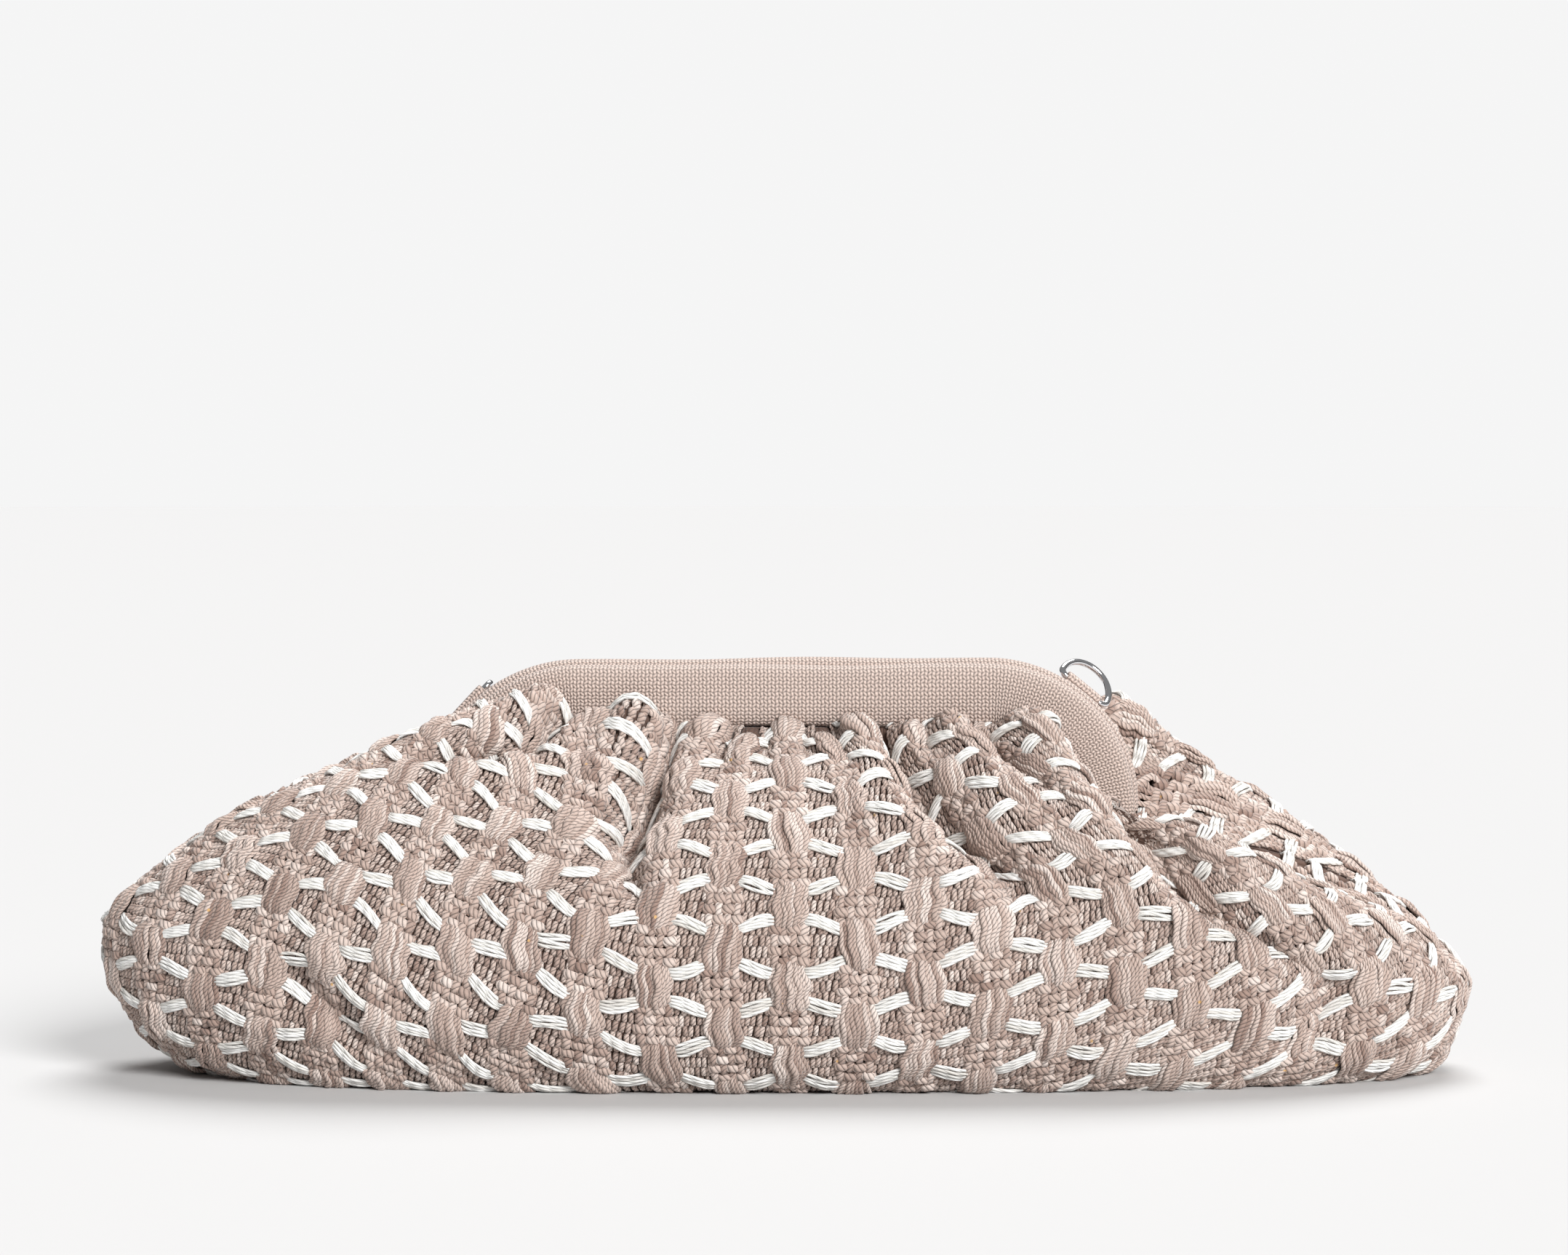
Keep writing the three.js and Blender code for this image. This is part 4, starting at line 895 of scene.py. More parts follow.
def swept(name, insets, depths, middle, foot, dimple, seed):
    """Carries a section along the hoop. Dimples are slow sine waves along and round the sleeve."""
    line, inward, at = hoop_frame(foot)
    phase = np.random.default_rng(seed).uniform(0, 6.28, 4)
    turn = np.arctan2(depths, insets - insets.mean())
    uneven = dimple * (
        np.sin(at[:, None] / 9 + phase[0] + turn) * 0.5
        + np.sin(at[:, None] / 17 + phase[1] + 2 * turn) * 0.6
        + np.sin(at[:, None] / 31 + phase[2]) * 0.6
    )
    grown = 1 + uneven / np.hypot(insets - insets.mean(), depths)
    inset = insets.mean() + (insets - insets.mean()) * grown
    x = line[:, :1] + inward[:, :1] * inset
    z = line[:, 1:] + inward[:, 1:] * inset
    y = middle + depths * grown
    return closed_strip(name, np.stack(np.broadcast_arrays(x, y, z), -1), insets, depths, at)


# %% Make both casings and their padding
BAR_INSET = {"front": 7.0, "back": 9.7}  # of the steel bar, over which the padding lies
SEAM_COVER = 1.5  # the soft canvas bulges this far over the seam under it
PAD_HEIGHT = 4.6
PAD_DEPTH = 4.0
PAD_GAP = 0.5  # between the padding and the bar, and under its ends
PAD_ROUNDNESS = 3.0
casings = {}
paddings = {}
for side, sign in (("front", -1), ("back", 1)):
    rise = 0.0 if side == "front" else BACK_CASING_RISE
    outside = section(-rise, CASING_BAND + SEAM_COVER, CASING_DEPTH, CASING_ROUNDNESS, 40)
    middle = sign * casing_middle
    casings[side] = swept(f"{side}_sleeve", *outside, middle, LEG_END, dimple=0.35, seed=7 + sign)
    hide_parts(f"{side}_casing")
    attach(casings[side], f"{side}_frame")

    low = BAR_INSET[side] - PAD_GAP
    soft = section(low - PAD_HEIGHT, low, PAD_DEPTH, PAD_ROUNDNESS, 16)
    paddings[side] = swept(f"{side}_wadding", *soft, middle, LEG_END + PAD_GAP, dimple=0.1, seed=9 + sign)
    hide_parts(f"{side}_casing_padding")
    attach(paddings[side], f"{side}_frame")
    print(casings[side].name, "has", len(casings[side].data.polygons), "faces")


# %% [markdown]
# ## Linings, pocket and stay tapes
# Inside each panel hangs a thin cotton lining, with a slip pocket on the back one. A cotton tape holds the
# gathers under the seam. Linings and tapes are thin sheets made like the base cloth and moved in from it
# square to its own folds, so that they keep to it in every roll and hollow.

# %% Thin sheets inside the bag
LINING_SHARES = (-0.985, 0.985)
LINING_WAYS = (0.06, 2.98)
LINING_HUG = 2.8  # how far inside the cloth under the yarns each sheet hangs
TAPE_SHARES = (-0.84, 0.84)
TAPE_WAYS = (0.03, 0.14)
TAPE_HUG = 1.6
SHOULDER_SHARES = (0.45, 0.6)  # from here on deep folds double over, and a sheet keeps clear of all near it
SHOULDER_END = (0.8, 1.2)  # ways down over which it stops keeping under them
SHOULDER_ROOM = 0.4  # how much more it moves in there, as a share of its hug
SHEET_FRONT = -0.4  # the nearest that a sheet comes to the middle plane and to the floor
SHEET_FLOOR = 1.0


def largest_near(values, rows, columns):
    """The largest value among the neighbours of each place of a grid."""
    padded = np.pad(values, ((rows, rows), (columns, columns)), mode="edge")
    windows = np.lib.stride_tricks.sliding_window_view(padded, (2 * rows + 1, 2 * columns + 1))
    return windows.max(axis=(-1, -2))


def inner_sheet(name, side, share_span, down_span, size, thickness, hug=0.0, depth_at=None):
    """A grid of the folded sheet between two shares and two ways down, moved in by hug along the outward
    directions of the folds, or by depth_at under the smooth body. At the shoulders it also lies behind and
    under all that is near in the folded cloth. Then it is thickened."""
    share, down = np.meshgrid(np.linspace(*share_span, size[0]), np.linspace(*down_span, size[1]))
    points = folded_sheet(side, down, share, depth_at(share, down) if depth_at else YARN_ROOM)
    if hug:
        points -= surface_normals(points) * hug
        aside = smooth(*SHOULDER_SHARES, np.abs(share))
        behind = largest_near(points[..., 1], 2, 5) + SHOULDER_ROOM * hug
        points[..., 1] = mix(points[..., 1], behind, aside)
        under = -largest_near(-points[..., 2], 3, 3) - SHOULDER_ROOM * hug
        points[..., 2] = mix(points[..., 2], under, aside * (1 - smooth(*SHOULDER_END, down)))
    points[..., 1] = np.minimum(points[..., 1], SHEET_FRONT)
    points[..., 2] = np.maximum(points[..., 2], SHEET_FLOOR)
    obj = sheet_piece(name, side, points, share, down)
    thick = obj.modifiers.new("cloth thickness", "SOLIDIFY")
    thick.thickness = thickness * MM
    thick.offset = -1
    return obj


linings = {}
for side in ("front", "back"):
    lining = inner_sheet(f"{side}_inner_cloth", side, LINING_SHARES, LINING_WAYS, (231, 110), 0.5, LINING_HUG)
    linings[side] = lining
    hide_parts(f"{side}_lining")

# %% Slip pocket and tapes
POCKET_SHARES = (-1 / 3, 1 / 3)
POCKET_WAYS = (1 / 3, 1.0)
POCKET_IN = 7.6  # how far it lies under the smooth body
POCKET_OPEN = 9.0


def pocket_depth(share, down):
    """Lies on the lining at its sides and foot, and stands POCKET_OPEN away at the middle of its mouth."""
    across = np.sqrt(np.clip(np.cos(share / POCKET_SHARES[1] * np.pi / 2), 0, 1))
    opening = (POCKET_WAYS[1] - down) / (POCKET_WAYS[1] - POCKET_WAYS[0])
    return POCKET_IN + POCKET_OPEN * across * np.clip(opening, 0, 1)


pocket = inner_sheet("pocket_cloth", "back", POCKET_SHARES, POCKET_WAYS, (41, 31), 0.6, depth_at=pocket_depth)
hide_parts("slip_pocket")

tapes = {}
for side in ("front", "back"):
    tape = inner_sheet(f"{side}_tape", side, TAPE_SHARES, TAPE_WAYS, (231, 7), 0.6, TAPE_HUG)
    tapes[side] = tape
    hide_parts(f"{side}_stay_tape")
print("inner sheets:", [o.name for o in (*linings.values(), pocket, *tapes.values())])

# %% [markdown]
# ## The soft pieces and the frame
# The frame's halves turn about the hinge axis, 72 mm up. A panel is still at the bag's foot and moves with
# its frame at the seam. Nothing here is animated: the joints belong to the imported model. The casings, their
# padding, the rings and the tabs are attached to the parts that they follow. The panels' pieces, the linings,
# the tapes and the pocket have their places baked into their points, and the CAD panels are hidden. Nothing
# here is animated: the joints belong to the imported model, and each piece only says what it
# follows.

# %% Bake the soft pieces in place, hide the CAD panels and work out the flat cuts' sizes
for side, pieces in panels.items():
    for obj in (*pieces, linings[side], tapes[side]):
        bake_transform(obj)
    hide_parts(f"{side}_panel")
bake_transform(pocket)


def flat_cut(share_span, down_span, side):
    """Flat size and area of a cut in metres: its threads' width times their mean length along the body."""
    share, down = np.meshgrid(np.linspace(*share_span, 121), np.linspace(*down_span, 121))
    length = np.linalg.norm(np.diff(body_point(share, down, side), axis=0), axis=-1).sum(0)
    width = (share_span[1] - share_span[0]) * HALF_CLOTH * MM
    return (width, float(length.max() * MM)), float(length.mean() * MM * width)


for side, pieces in panels.items():
    size, area = flat_cut((-1, 1), (0, 3), side)

    size, area = flat_cut(LINING_SHARES, LINING_WAYS, side)

    size, area = flat_cut(TAPE_SHARES, TAPE_WAYS, side)
    tape_length = path_lengths(seam_at(np.linspace(*TAPE_SHARES, 241)))[-1] * MM
    area = area * tape_length / size[0]
size, area = flat_cut(POCKET_SHARES, POCKET_WAYS, "back")

# %% [markdown]
# ## The strap rings and their tabs
# A D-ring is one polished wire: a straight bar in the tab and a round bow. The canvas tab is a strip that
# runs up the back casing, loops round the bar and comes back down. A torus would have no straight side for
# the tab, so the D's own line is worked out and a round section carried along it. Both are built in the
# ring's own plane and then set in place, leaning as they do when the bag stands by itself.

# %% Sizes of rings and tabs
RING_INNER = 15.0
RING_HEIGHT = 11.5
WIRE_RADIUS = 1.0
RING_CORNER = 2.0
TAB_WIDTH = 13.0
TAB_PLY = 1.0
TAB_EDGE = 0.03  # taken off each face of the canvas, so that its edges look soft
TAB_ROUNDNESS = 6.0
TAB_RISE = 1.8  # of the ring's bar over the frame, and of the tab's plies down the casing
TAB_TAIL = 10.0
PLY_GAP = 0.12
PLIES_MEET = -2.9  # under the bar, where the loop's front comes to lie on its back
RING_CLEARANCE = 0.1
TABS = {"left": (-1, 43.0, 92.0), "right": (1, 51.0, 51.0)}  # side, place on the corner and lean, in degrees
tab_y = casing_middle + CASING_DEPTH / 2 + SEAM_GAP + WIRE_RADIUS + RING_CLEARANCE + TAB_PLY


def ring_line():
    """The D's closed middle line: a straight bar, two quarter circles and a half ellipse."""
    half = RING_INNER / 2 + WIRE_RADIUS
    flat = half - RING_CORNER
    quarter = np.linspace(-np.pi / 2, 0, 9)
    bow = np.linspace(0, np.pi, 49)[1:-1]
    x = np.concatenate([
        np.linspace(-flat, flat, 9)[:-1],
        flat + RING_CORNER * np.cos(quarter),
        half * np.cos(bow),
        -flat - RING_CORNER * np.cos(quarter[::-1]),
    ])
    y = np.concatenate([
        np.zeros(8),
        RING_CORNER * (1 + np.sin(quarter)),
        RING_CORNER + (RING_HEIGHT - RING_CORNER) * np.sin(bow),
        RING_CORNER * (1 + np.sin(quarter[::-1])),
    ])
    return np.column_stack([x, y])[:-1]


def place_of(hand):
    """The ring bar's middle and four directions: along it, outwards, to the rear, and the bow's."""
    sign, stands, lean = TABS[hand]
    angle, tilt = math.radians(stands), math.radians(lean)
    outwards = np.array([sign * math.cos(angle), 0, math.sin(angle)])
    rearwards = np.array([0.0, 1.0, 0.0])
    along = np.cross(rearwards, outwards)
    centre = np.array([sign * corner_x, tab_y, corner_z]) + outwards * (CASING_RADIUS + TAB_RISE)
    bow = outwards * math.cos(tilt) + rearwards * math.sin(tilt)
    return centre, along, outwards, rearwards, bow


# %% Make the rings
def make_ring(hand, sides=20):
    """A round wire along the D: each ring of points lies square to the line, and the last joins the first."""
    centre, along, _, _, bow = place_of(hand)
    line = ring_line()
    out = right_of(unit(np.roll(line, -1, 0) - np.roll(line, 1, 0)))
    angle = np.arange(sides) / sides * 2 * np.pi
    flat = line[:, None, :] + out[:, None, :] * (WIRE_RADIUS * np.cos(angle))[None, :, None]
    raised = (WIRE_RADIUS * np.sin(angle))[None, :, None] * np.cross(along, bow)
    points = centre + flat[..., :1] * along + flat[..., 1:] * bow + raised
    looped = np.concatenate([np.arange(len(line)), [0]])
    index = looped[:, None] * sides + np.arange(sides)[None]
    around = np.roll(index, -1, 1)
    faces = np.stack([index[:-1], index[1:], around[1:], around[:-1]], -1).reshape(-1, 4)
    uv = grid_uv(angle[None, :], path_lengths(line)[:, None])
    ring = face_out(new_piece(f"{hand}_strap_ring", points.reshape(-1, 3), [faces], uv=uv))
    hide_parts(f"{hand}_d_ring")
    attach(ring, f"{hand}_ring")
    return ring


# %% Make the tabs
def make_tab(hand):
    """A strip carried along its loop: up the casing's rear face, half round the bar, and back down on itself.
    Its edges are rounded by a superellipse section, and its width and middle sway in slow sine waves."""
    centre, along, outwards, rearwards, _ = place_of(hand)
    loop = WIRE_RADIUS + RING_CLEARANCE + TAB_PLY / 2
    second_ply = -loop + TAB_PLY + PLY_GAP
    turn = np.linspace(np.pi, 0, 17)
    foot = -TAB_RISE - TAB_TAIL
    back = np.linspace(foot, 0, 14)[:-1]
    front = np.linspace(0, -2.2, 5)[1:]
    inner = np.linspace(PLIES_MEET, foot, 10)
    path = np.concatenate([
        np.column_stack([np.full(len(back), -loop), back]),
        np.column_stack([loop * np.cos(turn), loop * np.sin(turn)]),
        np.column_stack([mix(loop, second_ply, smooth(0, PLIES_MEET, front)), front]),
        np.column_stack([np.full(len(inner), second_ply), inner]),
    ])
    side = right_of(unit(np.gradient(path, axis=0)))
    wide, thick = superellipse(TAB_ROUNDNESS, 28)
    wide, thick = TAB_WIDTH / 2 * wide, (TAB_PLY / 2 - TAB_EDGE) * thick
    at = path_lengths(path)
    swell = (1 - 0.04 * np.sin(at / 6))[:, None, None]
    sway = (0.35 * np.sin(at / 4))[:, None, None]
    plane = path[:, None, :] + side[:, None, :] * thick[None, :, None]
    points = centre + plane[..., :1] * rearwards + plane[..., 1:] * outwards
    points = points + (wide[None, :, None] * swell + sway) * along
    tab = closed_strip(f"{hand}_tab", points, wide, thick, at)
    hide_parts(f"{hand}_ring_tab")
    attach(tab, "back_frame")
    return tab


rings = {hand: make_ring(hand) for hand in TABS}
tabs = {hand: make_tab(hand) for hand in TABS}
print("rings and tabs:", [o.name for o in (*rings.values(), *tabs.values())])

# %% [markdown]
# ## Building blocks for the materials
# Several cloths share the same effects, so each effect is a node group with named inputs: the twist of a
# plied yarn, a plain weave, and soft mottling. Groups only hand out colours, masks and heights. The shader
# itself stays in each material.


# %% Helpers to wire nodes
def add_node(tree, kind, inputs=(), **settings):
    """Adds a node, sets its options, and fills its inputs with sockets or plain values by name or number."""
    node = tree.nodes.new(kind)
    for key, value in settings.items():
        setattr(node, key, value)
    for key, value in dict(inputs).items():
        if isinstance(value, bpy.types.NodeSocket):
            tree.links.new(value, node.inputs[key])
        else:
            node.inputs[key].default_value = value
    return node


def calc(tree, operation, a, b=0.0, c=0.0):
    """One step of arithmetic on values or sockets."""
    return add_node(tree, "ShaderNodeMath", {0: a, 1: b, 2: c}, operation=operation).outputs[0]


def scaled(tree, vector, factor):
    """A vector or a colour times a factor."""
    inputs = {0: vector, "Scale": factor}
    return add_node(tree, "ShaderNodeVectorMath", inputs, operation="SCALE").outputs[0]


def colour_ramp(tree, value, stops):
    """A ramp through the colours of its stops, the first at 0 and the last at 1."""
    node = add_node(tree, "ShaderNodeValToRGB", {0: value})
    ramp = node.color_ramp
    ramp.elements[0].color, ramp.elements[1].color = stops[0.0], stops[1.0]
    for place in sorted(stops)[1:-1]:
        ramp.elements.new(place).color = stops[place]
    return node.outputs[0]


def uv_place(tree):
    """Where a point lies on the piece's own UV map."""
    return add_node(tree, "ShaderNodeUVMap", uv_map="UVMap").outputs[0]


def object_place(tree):
    """Where a point lies in the piece, in metres."""
    return add_node(tree, "ShaderNodeTexCoord").outputs["Object"]


def new_group(name, inputs, outputs):
    """An empty shader node group with float, colour or vector sockets and its input and output nodes."""
    kinds = {"value": "NodeSocketFloat", "vector": "NodeSocketVector", "colour": "NodeSocketColor"}
    group = bpy.data.node_groups.new(name, "ShaderNodeTree")
    for socket, kind, default in inputs:
        made = group.interface.new_socket(name=socket, in_out="INPUT", socket_type=kinds[kind])
        if default is not None:
            made.default_value = default
    for socket, kind in outputs:
        group.interface.new_socket(name=socket, in_out="OUTPUT", socket_type=kinds[kind])
    start = group.nodes.new("NodeGroupInput")
    end = group.nodes.new("NodeGroupOutput")
    return group, start.outputs, end.inputs


# %% Group: twist of a plied yarn
twist, given, result = new_group(
    "Yarn twist",
    [("UV", "vector", None), ("Plies", "value", 3.0), ("Turns per cm", "value", 2.0)],
    [("Height", "value"), ("Groove shade", "value")],
)
parts = add_node(twist, "ShaderNodeSeparateXYZ", {0: given["UV"]}).outputs
slant = calc(twist, "MULTIPLY", parts["X"], given["Turns per cm"])
phase = calc(twist, "MULTIPLY", calc(twist, "ADD", parts["Y"], slant), given["Plies"])
across_ply = calc(twist, "SUBTRACT", calc(twist, "FRACT", phase), 0.5)
square = calc(twist, "MULTIPLY", across_ply, across_ply)
round_ply = calc(twist, "SUBTRACT", 1.0, calc(twist, "MULTIPLY", square, 4.0))
twist.links.new(round_ply, result["Height"])
# The second output is a mask for painted shade in the grooves between the plies.
twist.links.new(calc(twist, "POWER", calc(twist, "SUBTRACT", 1.0, round_ply), 3.0), result["Groove shade"])

# %% Group: plain weave
weave, given, result = new_group(
    "Plain weave",
    [
        ("UV", "vector", None),
        ("Threads per cm", "value", 9.0),
        ("Wobble", "value", 0.15),
        ("Lean", "value", 0.0),
    ],
    [("Height", "value"), ("Gap shade", "value"), ("Warp", "value")],
)
noise = add_node(weave, "ShaderNodeTexNoise", {"Vector": given["UV"], "Scale": 7.0, "Detail": 2.0})
half = {0: noise.outputs["Color"], 1: (0.5, 0.5, 0.5)}
centred = add_node(weave, "ShaderNodeVectorMath", half, operation="SUBTRACT").outputs[0]
step = {0: given["UV"], 1: scaled(weave, centred, given["Wobble"])}
moved = add_node(weave, "ShaderNodeVectorMath", step, operation="ADD").outputs[0]
counted = scaled(weave, moved, given["Threads per cm"])
parts = add_node(weave, "ShaderNodeSeparateXYZ", {0: counted}).outputs
swing = calc(weave, "COSINE", calc(weave, "MULTIPLY", parts["Y"], math.pi))
leaning = calc(weave, "MULTIPLY_ADD", swing, given["Lean"], parts["X"])


def thread(tree, across, along, shift):
    """Height of one set of threads: round across each thread, rising and dipping along it by turns."""
    arch = calc(tree, "SINE", calc(tree, "MULTIPLY", calc(tree, "FRACT", across), math.pi))
    order = calc(tree, "ADD", calc(tree, "ADD", along, calc(tree, "FLOOR", across)), shift)
    wave = calc(tree, "COSINE", calc(tree, "MULTIPLY", order, math.pi))
    return calc(tree, "MULTIPLY", calc(tree, "POWER", arch, 0.6), calc(tree, "MULTIPLY_ADD", wave, 0.5, 0.5))


warp = thread(weave, leaning, calc(weave, "SUBTRACT", parts["Y"], 0.5), 0.0)
weft = thread(weave, parts["Y"], calc(weave, "SUBTRACT", parts["X"], 0.5), 1.0)
top = calc(weave, "MAXIMUM", warp, weft)
weave.links.new(top, result["Height"])
# The second output is a mask for painted shade in the gaps between the threads.
weave.links.new(calc(weave, "POWER", calc(weave, "SUBTRACT", 1.0, top), 1.5), result["Gap shade"])
weave.links.new(calc(weave, "GREATER_THAN", warp, weft), result["Warp"])

# %% Group: soft mottling of a colour
mottle, given, result = new_group(
    "Mottling",
    [
        ("Colour", "colour", None),
        ("Vector", "vector", None),
        ("Scale", "value", 200.0),
        ("Amount", "value", 0.1),
    ],
    [("Colour", "colour"), ("Value", "value")],
)
spread = {"Vector": given["Vector"], "Scale": given["Scale"], "Detail": 3.0}
noise = add_node(mottle, "ShaderNodeTexNoise", spread).outputs["Fac"]
swing = calc(mottle, "MULTIPLY_ADD", noise, 2.0, -1.0)
gain = calc(mottle, "MULTIPLY_ADD", swing, given["Amount"], 1.0)
mottle.links.new(scaled(mottle, given["Colour"], gain), result["Colour"])
mottle.links.new(noise, result["Value"])
print("node groups:", [g.name for g in bpy.data.node_groups])


# %% [markdown]
# ## Materials
# Yarns take their colour from the shade that each one carries, with painted shade in the grooves between their
# plies. The plain cloths share one weave, at their own thread counts, with painted shade in its gaps, and the
# metals have fine scratches. Pictures of cloth could be wrapped round instead, but worked-out patterns stay
# sharp close by and fit every yarn.
# Colours are given as the eye reads them on a screen and turned into the linear values that the shader takes.


# %% Start a material
def linear(r, g, b):
    """Screen colour to linear light: the sRGB curve, ((c + 0.055) / 1.055)^2.4."""
    return (*[((c + 0.055) / 1.055) ** 2.4 if c > 0.04 else c / 12.92 for c in (r, g, b)], 1.0)


def new_material(name, roughness, metallic=0.0, sheen=0.0):
    """A material with one Principled shader. Values that are the same all over sit on the shader itself."""
    material = bpy.data.materials.new(name)
    material.use_nodes = True
    tree = material.node_tree
    shader = tree.nodes["Principled BSDF"]
    shader.inputs["Roughness"].default_value = roughness
    shader.inputs["Metallic"].default_value = metallic
    shader.inputs["Sheen Weight"].default_value = sheen
    shader.inputs["Sheen Roughness"].default_value = 0.5
    return material, tree, shader


def place_group(tree, group, **inputs):
    """Places a node group in a material with its own values; underscores stand for spaces."""
    named = {key.replace("_", " "): value for key, value in inputs.items()}
    return add_node(tree, "ShaderNodeGroup", named, node_tree=group).outputs


def raise_bump(tree, shader, height, distance):
    """Turns a height into a bump of so many metres."""
    bump = add_node(tree, "ShaderNodeBump", {"Height": height, "Distance": distance})
    tree.links.new(bump.outputs[0], shader.inputs["Normal"])


# %% Yarns: mauve and off-white
def yarn_material(name, dark, middle, light, plies, turns, groove_shade_depth, flecks):
    """Colour by the yarn's own shade, with painted shade in the grooves of its twist, and tiny flecks of other
    fibre.
    """
    material, tree, shader = new_material(name, 0.92, sheen=0.25)
    place = object_place(tree)
    shade = add_node(tree, "ShaderNodeAttribute", attribute_name="shade").outputs["Fac"]
    own = colour_ramp(tree, shade, {0.0: linear(*dark), 0.5: linear(*middle), 1.0: linear(*light)})
    plied = place_group(tree, twist, UV=uv_place(tree), Plies=plies, Turns_per_cm=turns)
    soft = place_group(tree, mottle, Colour=own, Vector=place, Scale=900.0, Amount=0.16)
    # Painted shade: the colour is darkened in the grooves between the plies.
    groove_shade = calc(tree, "MULTIPLY", plied["Groove shade"], groove_shade_depth)
    shaded = scaled(tree, soft["Colour"], calc(tree, "SUBTRACT", 1.0, groove_shade))
    spots = add_node(tree, "ShaderNodeTexVoronoi", {"Vector": place, "Scale": 190.0})
    spotted = calc(tree, "MULTIPLY", calc(tree, "LESS_THAN", spots.outputs["Distance"], 0.10), flecks)
    chosen = add_node(tree, "ShaderNodeSeparateColor", {0: spots.outputs["Color"]}).outputs[0]
    rare = calc(tree, "MULTIPLY", spotted, calc(tree, "GREATER_THAN", chosen, 0.93))
    blend = {0: rare, 6: shaded, 7: linear(0.84, 0.68, 0.47)}  # how much, the yarn's colour and the fleck's
    fleck = add_node(tree, "ShaderNodeMix", blend, data_type="RGBA")
    tree.links.new(fleck.outputs[2], shader.inputs["Base Color"])
    fuzz = add_node(tree, "ShaderNodeTexNoise", {"Vector": place, "Scale": 2600.0, "Detail": 2.0})
    height = calc(tree, "MULTIPLY_ADD", fuzz.outputs["Fac"], 0.35, plied["Height"])
    raise_bump(tree, shader, height, 0.00024)
    return material


mauve = yarn_material(
    "Mauve cotton yarn", (0.62, 0.52, 0.475), (0.79, 0.705, 0.66), (0.91, 0.85, 0.815), 3.0, 2.4, 0.9, 1.0
)
white = yarn_material(
    "Off-white yarn", (0.88, 0.865, 0.84), (0.95, 0.945, 0.93), (0.985, 0.98, 0.97), 2.0, 1.2, 0.35, 0.0
)

# %% Base cloth under the yarns
# The sheet stands for the panel's cloth, but its dark colour is painted shade: the shadow between the yarns.
shadow_base_cloth, tree, shader = new_material("Base cloth in painted shade", 0.95, sheen=0.1)
uv = uv_place(tree)
threads = place_group(tree, weave, UV=uv, Threads_per_cm=5.0, Wobble=0.05)
toned = place_group(tree, mottle, Colour=linear(0.40, 0.31, 0.27), Vector=uv, Scale=2.0, Amount=0.12)
dark = scaled(tree, toned["Colour"], calc(tree, "MULTIPLY_ADD", threads["Gap shade"], -0.4, 1.0))
tree.links.new(dark, shader.inputs["Base Color"])
raise_bump(tree, shader, threads["Height"], 0.0005)


# %% Woven cloths: canvas, lining and tape
def woven_material(name, colour, threads_per_cm, roughness, depth, wobble, mottling, gap_shade, lean=0.0):
    """A plain weave with painted shade in its gaps, its two sets of threads slightly apart in tone, and
    mottling.
    """
    material, tree, shader = new_material(name, roughness, sheen=0.2)
    uv = uv_place(tree)
    threads = place_group(tree, weave, UV=uv, Threads_per_cm=threads_per_cm, Wobble=wobble, Lean=lean)
    broad = place_group(tree, mottle, Colour=linear(*colour), Vector=uv, Scale=1.3, Amount=mottling)
    slub = threads_per_cm * 1.4
    fine = place_group(tree, mottle, Colour=broad["Colour"], Vector=uv, Scale=slub, Amount=0.14)
    # Painted shade in the gaps between the threads.
    shade = calc(tree, "MULTIPLY_ADD", threads["Gap shade"], -gap_shade, 1.0)
    shade = calc(tree, "MULTIPLY_ADD", threads["Warp"], -0.05, shade)
    tree.links.new(scaled(tree, fine["Colour"], shade), shader.inputs["Base Color"])
    raise_bump(tree, shader, threads["Height"], depth)
    return material


canvas = woven_material(
    "Dusty pink canvas", (0.90, 0.815, 0.77), 8.7, 0.88, 0.0006, 0.03, 0.05, 0.8, lean=0.24
)
lining_cloth = woven_material("Lining cotton", (0.86, 0.81, 0.76), 22.0, 0.85, 0.0001, 0.02, 0.05, 0.2)
tape_cloth = woven_material("Cotton tape", (0.90, 0.87, 0.82), 14.0, 0.9, 0.0002, 0.02, 0.04, 0.3)

# %% Wadding
wadding, tree, shader = new_material("Wadding", 1.0, sheen=0.4)
pale = linear(0.92, 0.91, 0.88)
fluff = place_group(tree, mottle, Colour=pale, Vector=object_place(tree), Scale=500.0, Amount=0.08)
tree.links.new(fluff["Colour"], shader.inputs["Base Color"])
raise_bump(tree, shader, fluff["Value"], 0.0006)


# %% Metals: chrome, zinc-plated steel and nickel
def metal_material(name, colour, roughness, scratch, mottling, stretch):
    """Bare metal whose roughness and surface vary along fine scratches, drawn out along one axis."""
    material, tree, shader = new_material(name, roughness, metallic=1.0)
    drawn = add_node(tree, "ShaderNodeMapping", {"Vector": object_place(tree), "Scale": stretch}).outputs[0]
    toned = place_group(tree, mottle, Colour=linear(*colour), Vector=drawn, Scale=400.0, Amount=mottling)
    tree.links.new(toned["Colour"], shader.inputs["Base Color"])
    rough = calc(tree, "MULTIPLY_ADD", toned["Value"], scratch, roughness - scratch / 2)
    tree.links.new(rough, shader.inputs["Roughness"])
    raise_bump(tree, shader, toned["Value"], 0.00001 + scratch * 0.0001)
    return material


chrome = metal_material("Polished plating", (0.90, 0.90, 0.91), 0.09, 0.05, 0.03, (1, 1, 1))
steel = metal_material("Zinc-plated strip", (0.72, 0.72, 0.73), 0.38, 0.2, 0.1, (0.2, 6, 2))
nickel = metal_material("Nickel-plated magnet", (0.62, 0.62, 0.63), 0.3, 0.1, 0.06, (1, 1, 1))


# %% Hand out the materials
def dress(obj, material):
    """Makes a material the object's only one."""
    obj.data.materials.clear()
    obj.data.materials.append(material)


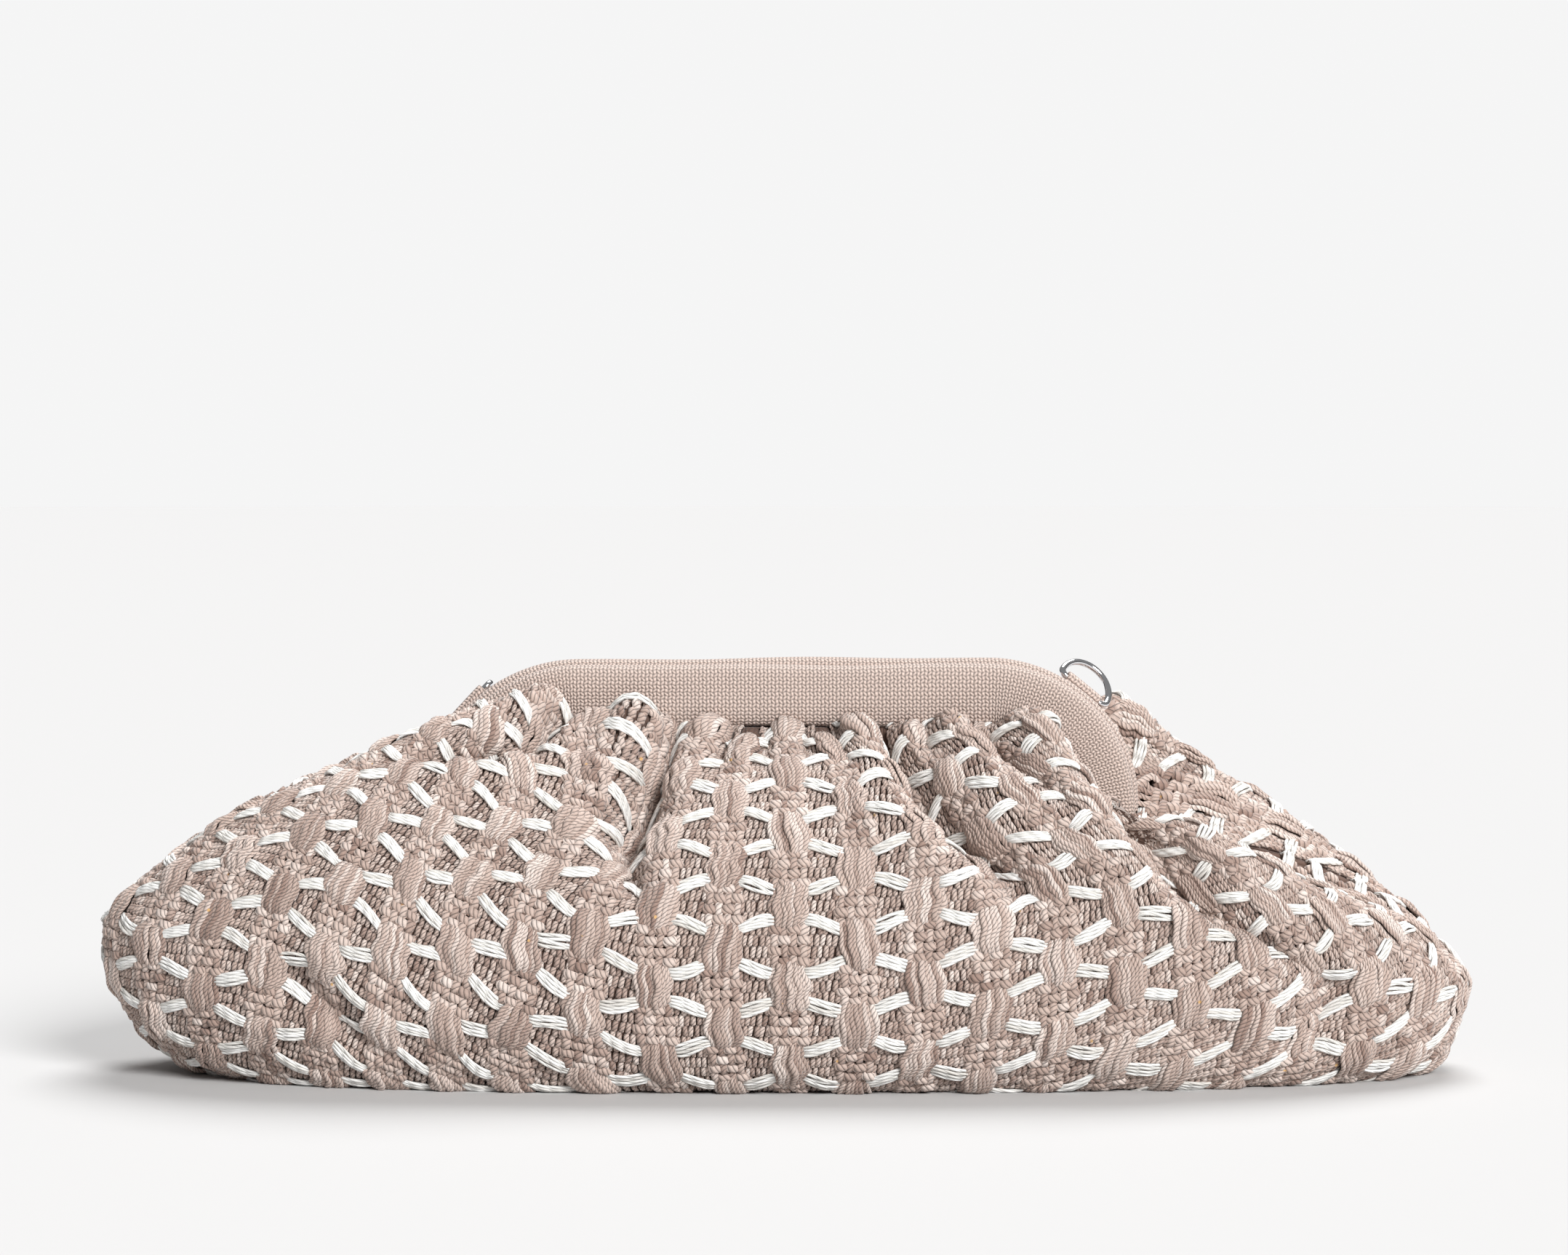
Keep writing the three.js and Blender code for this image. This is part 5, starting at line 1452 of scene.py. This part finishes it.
for pieces in panels.values():
    for obj, material in zip(pieces, (shadow_base_cloth, mauve, white, mauve, mauve)):
        dress(obj, material)
for material, pieces in (
    (canvas, (*casings.values(), *tabs.values())),
    (lining_cloth, (*linings.values(), pocket)),
    (tape_cloth, tapes.values()),
    (wadding, paddings.values()),
    (chrome, rings.values()),
):
    for obj in pieces:
        dress(obj, material)
METALS = {"bar": steel, "magnet": nickel, "rivet": chrome, "washer": chrome}
for name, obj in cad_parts.items():
    kind = name.split("_")[-1]
    if kind in METALS:
        dress(obj, METALS[kind])

# %% [markdown]
# ## Floor, light and camera
# The bag stands on a plain pale floor in even studio light. Two wide suns and a weak sky stand in for the
# large lamps of a studio, because they give the same soft shadows. The camera is far off with a long lens, a
# little above the bag, as for a catalogue picture.

# %% Floor
bpy.ops.mesh.primitive_circle_add(vertices=96, radius=14, fill_type="NGON")
floor = bpy.context.object
floor.name = "floor"
floor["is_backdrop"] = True
paper, tree, shader = new_material("Studio floor", 0.9)
shader.inputs["Base Color"].default_value = linear(0.80, 0.798, 0.797)
shader.inputs["Specular IOR Level"].default_value = 0.1
dress(floor, paper)

# %% Light
SKY_LIGHT = 0.22
TOP_LIGHT = 2.7
FRONT_LIGHT = 3.3
BACKDROP = 0.915  # how bright the sky looks behind the bag, which lights nothing
world = bpy.data.worlds.new("Studio")
bpy.context.scene.world = world
world.use_nodes = True
tree = world.node_tree
tree.nodes.clear()
where = add_node(tree, "ShaderNodeTexCoord").outputs["Generated"]
up = add_node(tree, "ShaderNodeSeparateXYZ", {0: where}).outputs["Z"]
room = colour_ramp(tree, calc(tree, "MULTIPLY_ADD", up, 0.5, 0.5), {
    0.0: (0.75, 0.75, 0.75, 1),
    0.50: (0.02, 0.02, 0.03, 1),
    0.58: (0.10, 0.10, 0.11, 1),
    0.66: (1.10, 1.10, 1.10, 1),
    1.0: (1.15, 1.15, 1.15, 1),
})
studio = add_node(tree, "ShaderNodeBackground", {"Color": room, "Strength": SKY_LIGHT})
seen = add_node(tree, "ShaderNodeBackground", {"Color": (1, 1, 1, 1), "Strength": BACKDROP})
by_eye = add_node(tree, "ShaderNodeLightPath").outputs["Is Camera Ray"]
either = add_node(tree, "ShaderNodeMixShader", {0: by_eye, 1: studio.outputs[0], 2: seen.outputs[0]})
add_node(tree, "ShaderNodeOutputWorld", {0: either.outputs[0]})


def add_sun(name, strength, spread_degrees, towards):
    """A soft, even light from far away, pointing along a direction."""
    light = bpy.data.lights.new(name, "SUN")
    light.energy = strength
    light.angle = math.radians(spread_degrees)
    lamp = bpy.data.objects.new(name, light)
    bpy.context.scene.collection.objects.link(lamp)
    lamp.rotation_euler = Vector(towards).to_track_quat("-Z", "Y").to_euler()


add_sun("Top light", TOP_LIGHT, 35, (-0.15, -0.50, -1.0))
add_sun("Front light", FRONT_LIGHT, 25, (-0.52, 0.85, -0.60))

# %% Camera
FRAME_WIDTH_PX = 2156
FOCAL_PX = 5454.0
SENSOR_WIDTH = 36.0
CAMERA_PLACE = (0, -1.2, 0.1854)
CAMERA_TILT = 2.45  # degrees down from level
camera_data = bpy.data.cameras.new("Camera")
camera_data.sensor_width = SENSOR_WIDTH
camera_data.lens = FOCAL_PX / FRAME_WIDTH_PX * SENSOR_WIDTH
camera_data.clip_end = 50
camera = bpy.data.objects.new("Camera", camera_data)
bpy.context.scene.collection.objects.link(camera)
camera.location = CAMERA_PLACE
camera.rotation_euler = (math.radians(90 - CAMERA_TILT), 0, 0)
bpy.context.scene.camera = camera
bpy.context.scene.view_settings.view_transform = "Standard"

# %% Print the visual box
low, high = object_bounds()
print("visual box in mm:", [round(v * 1000, 1) for v in (*low, *high)])
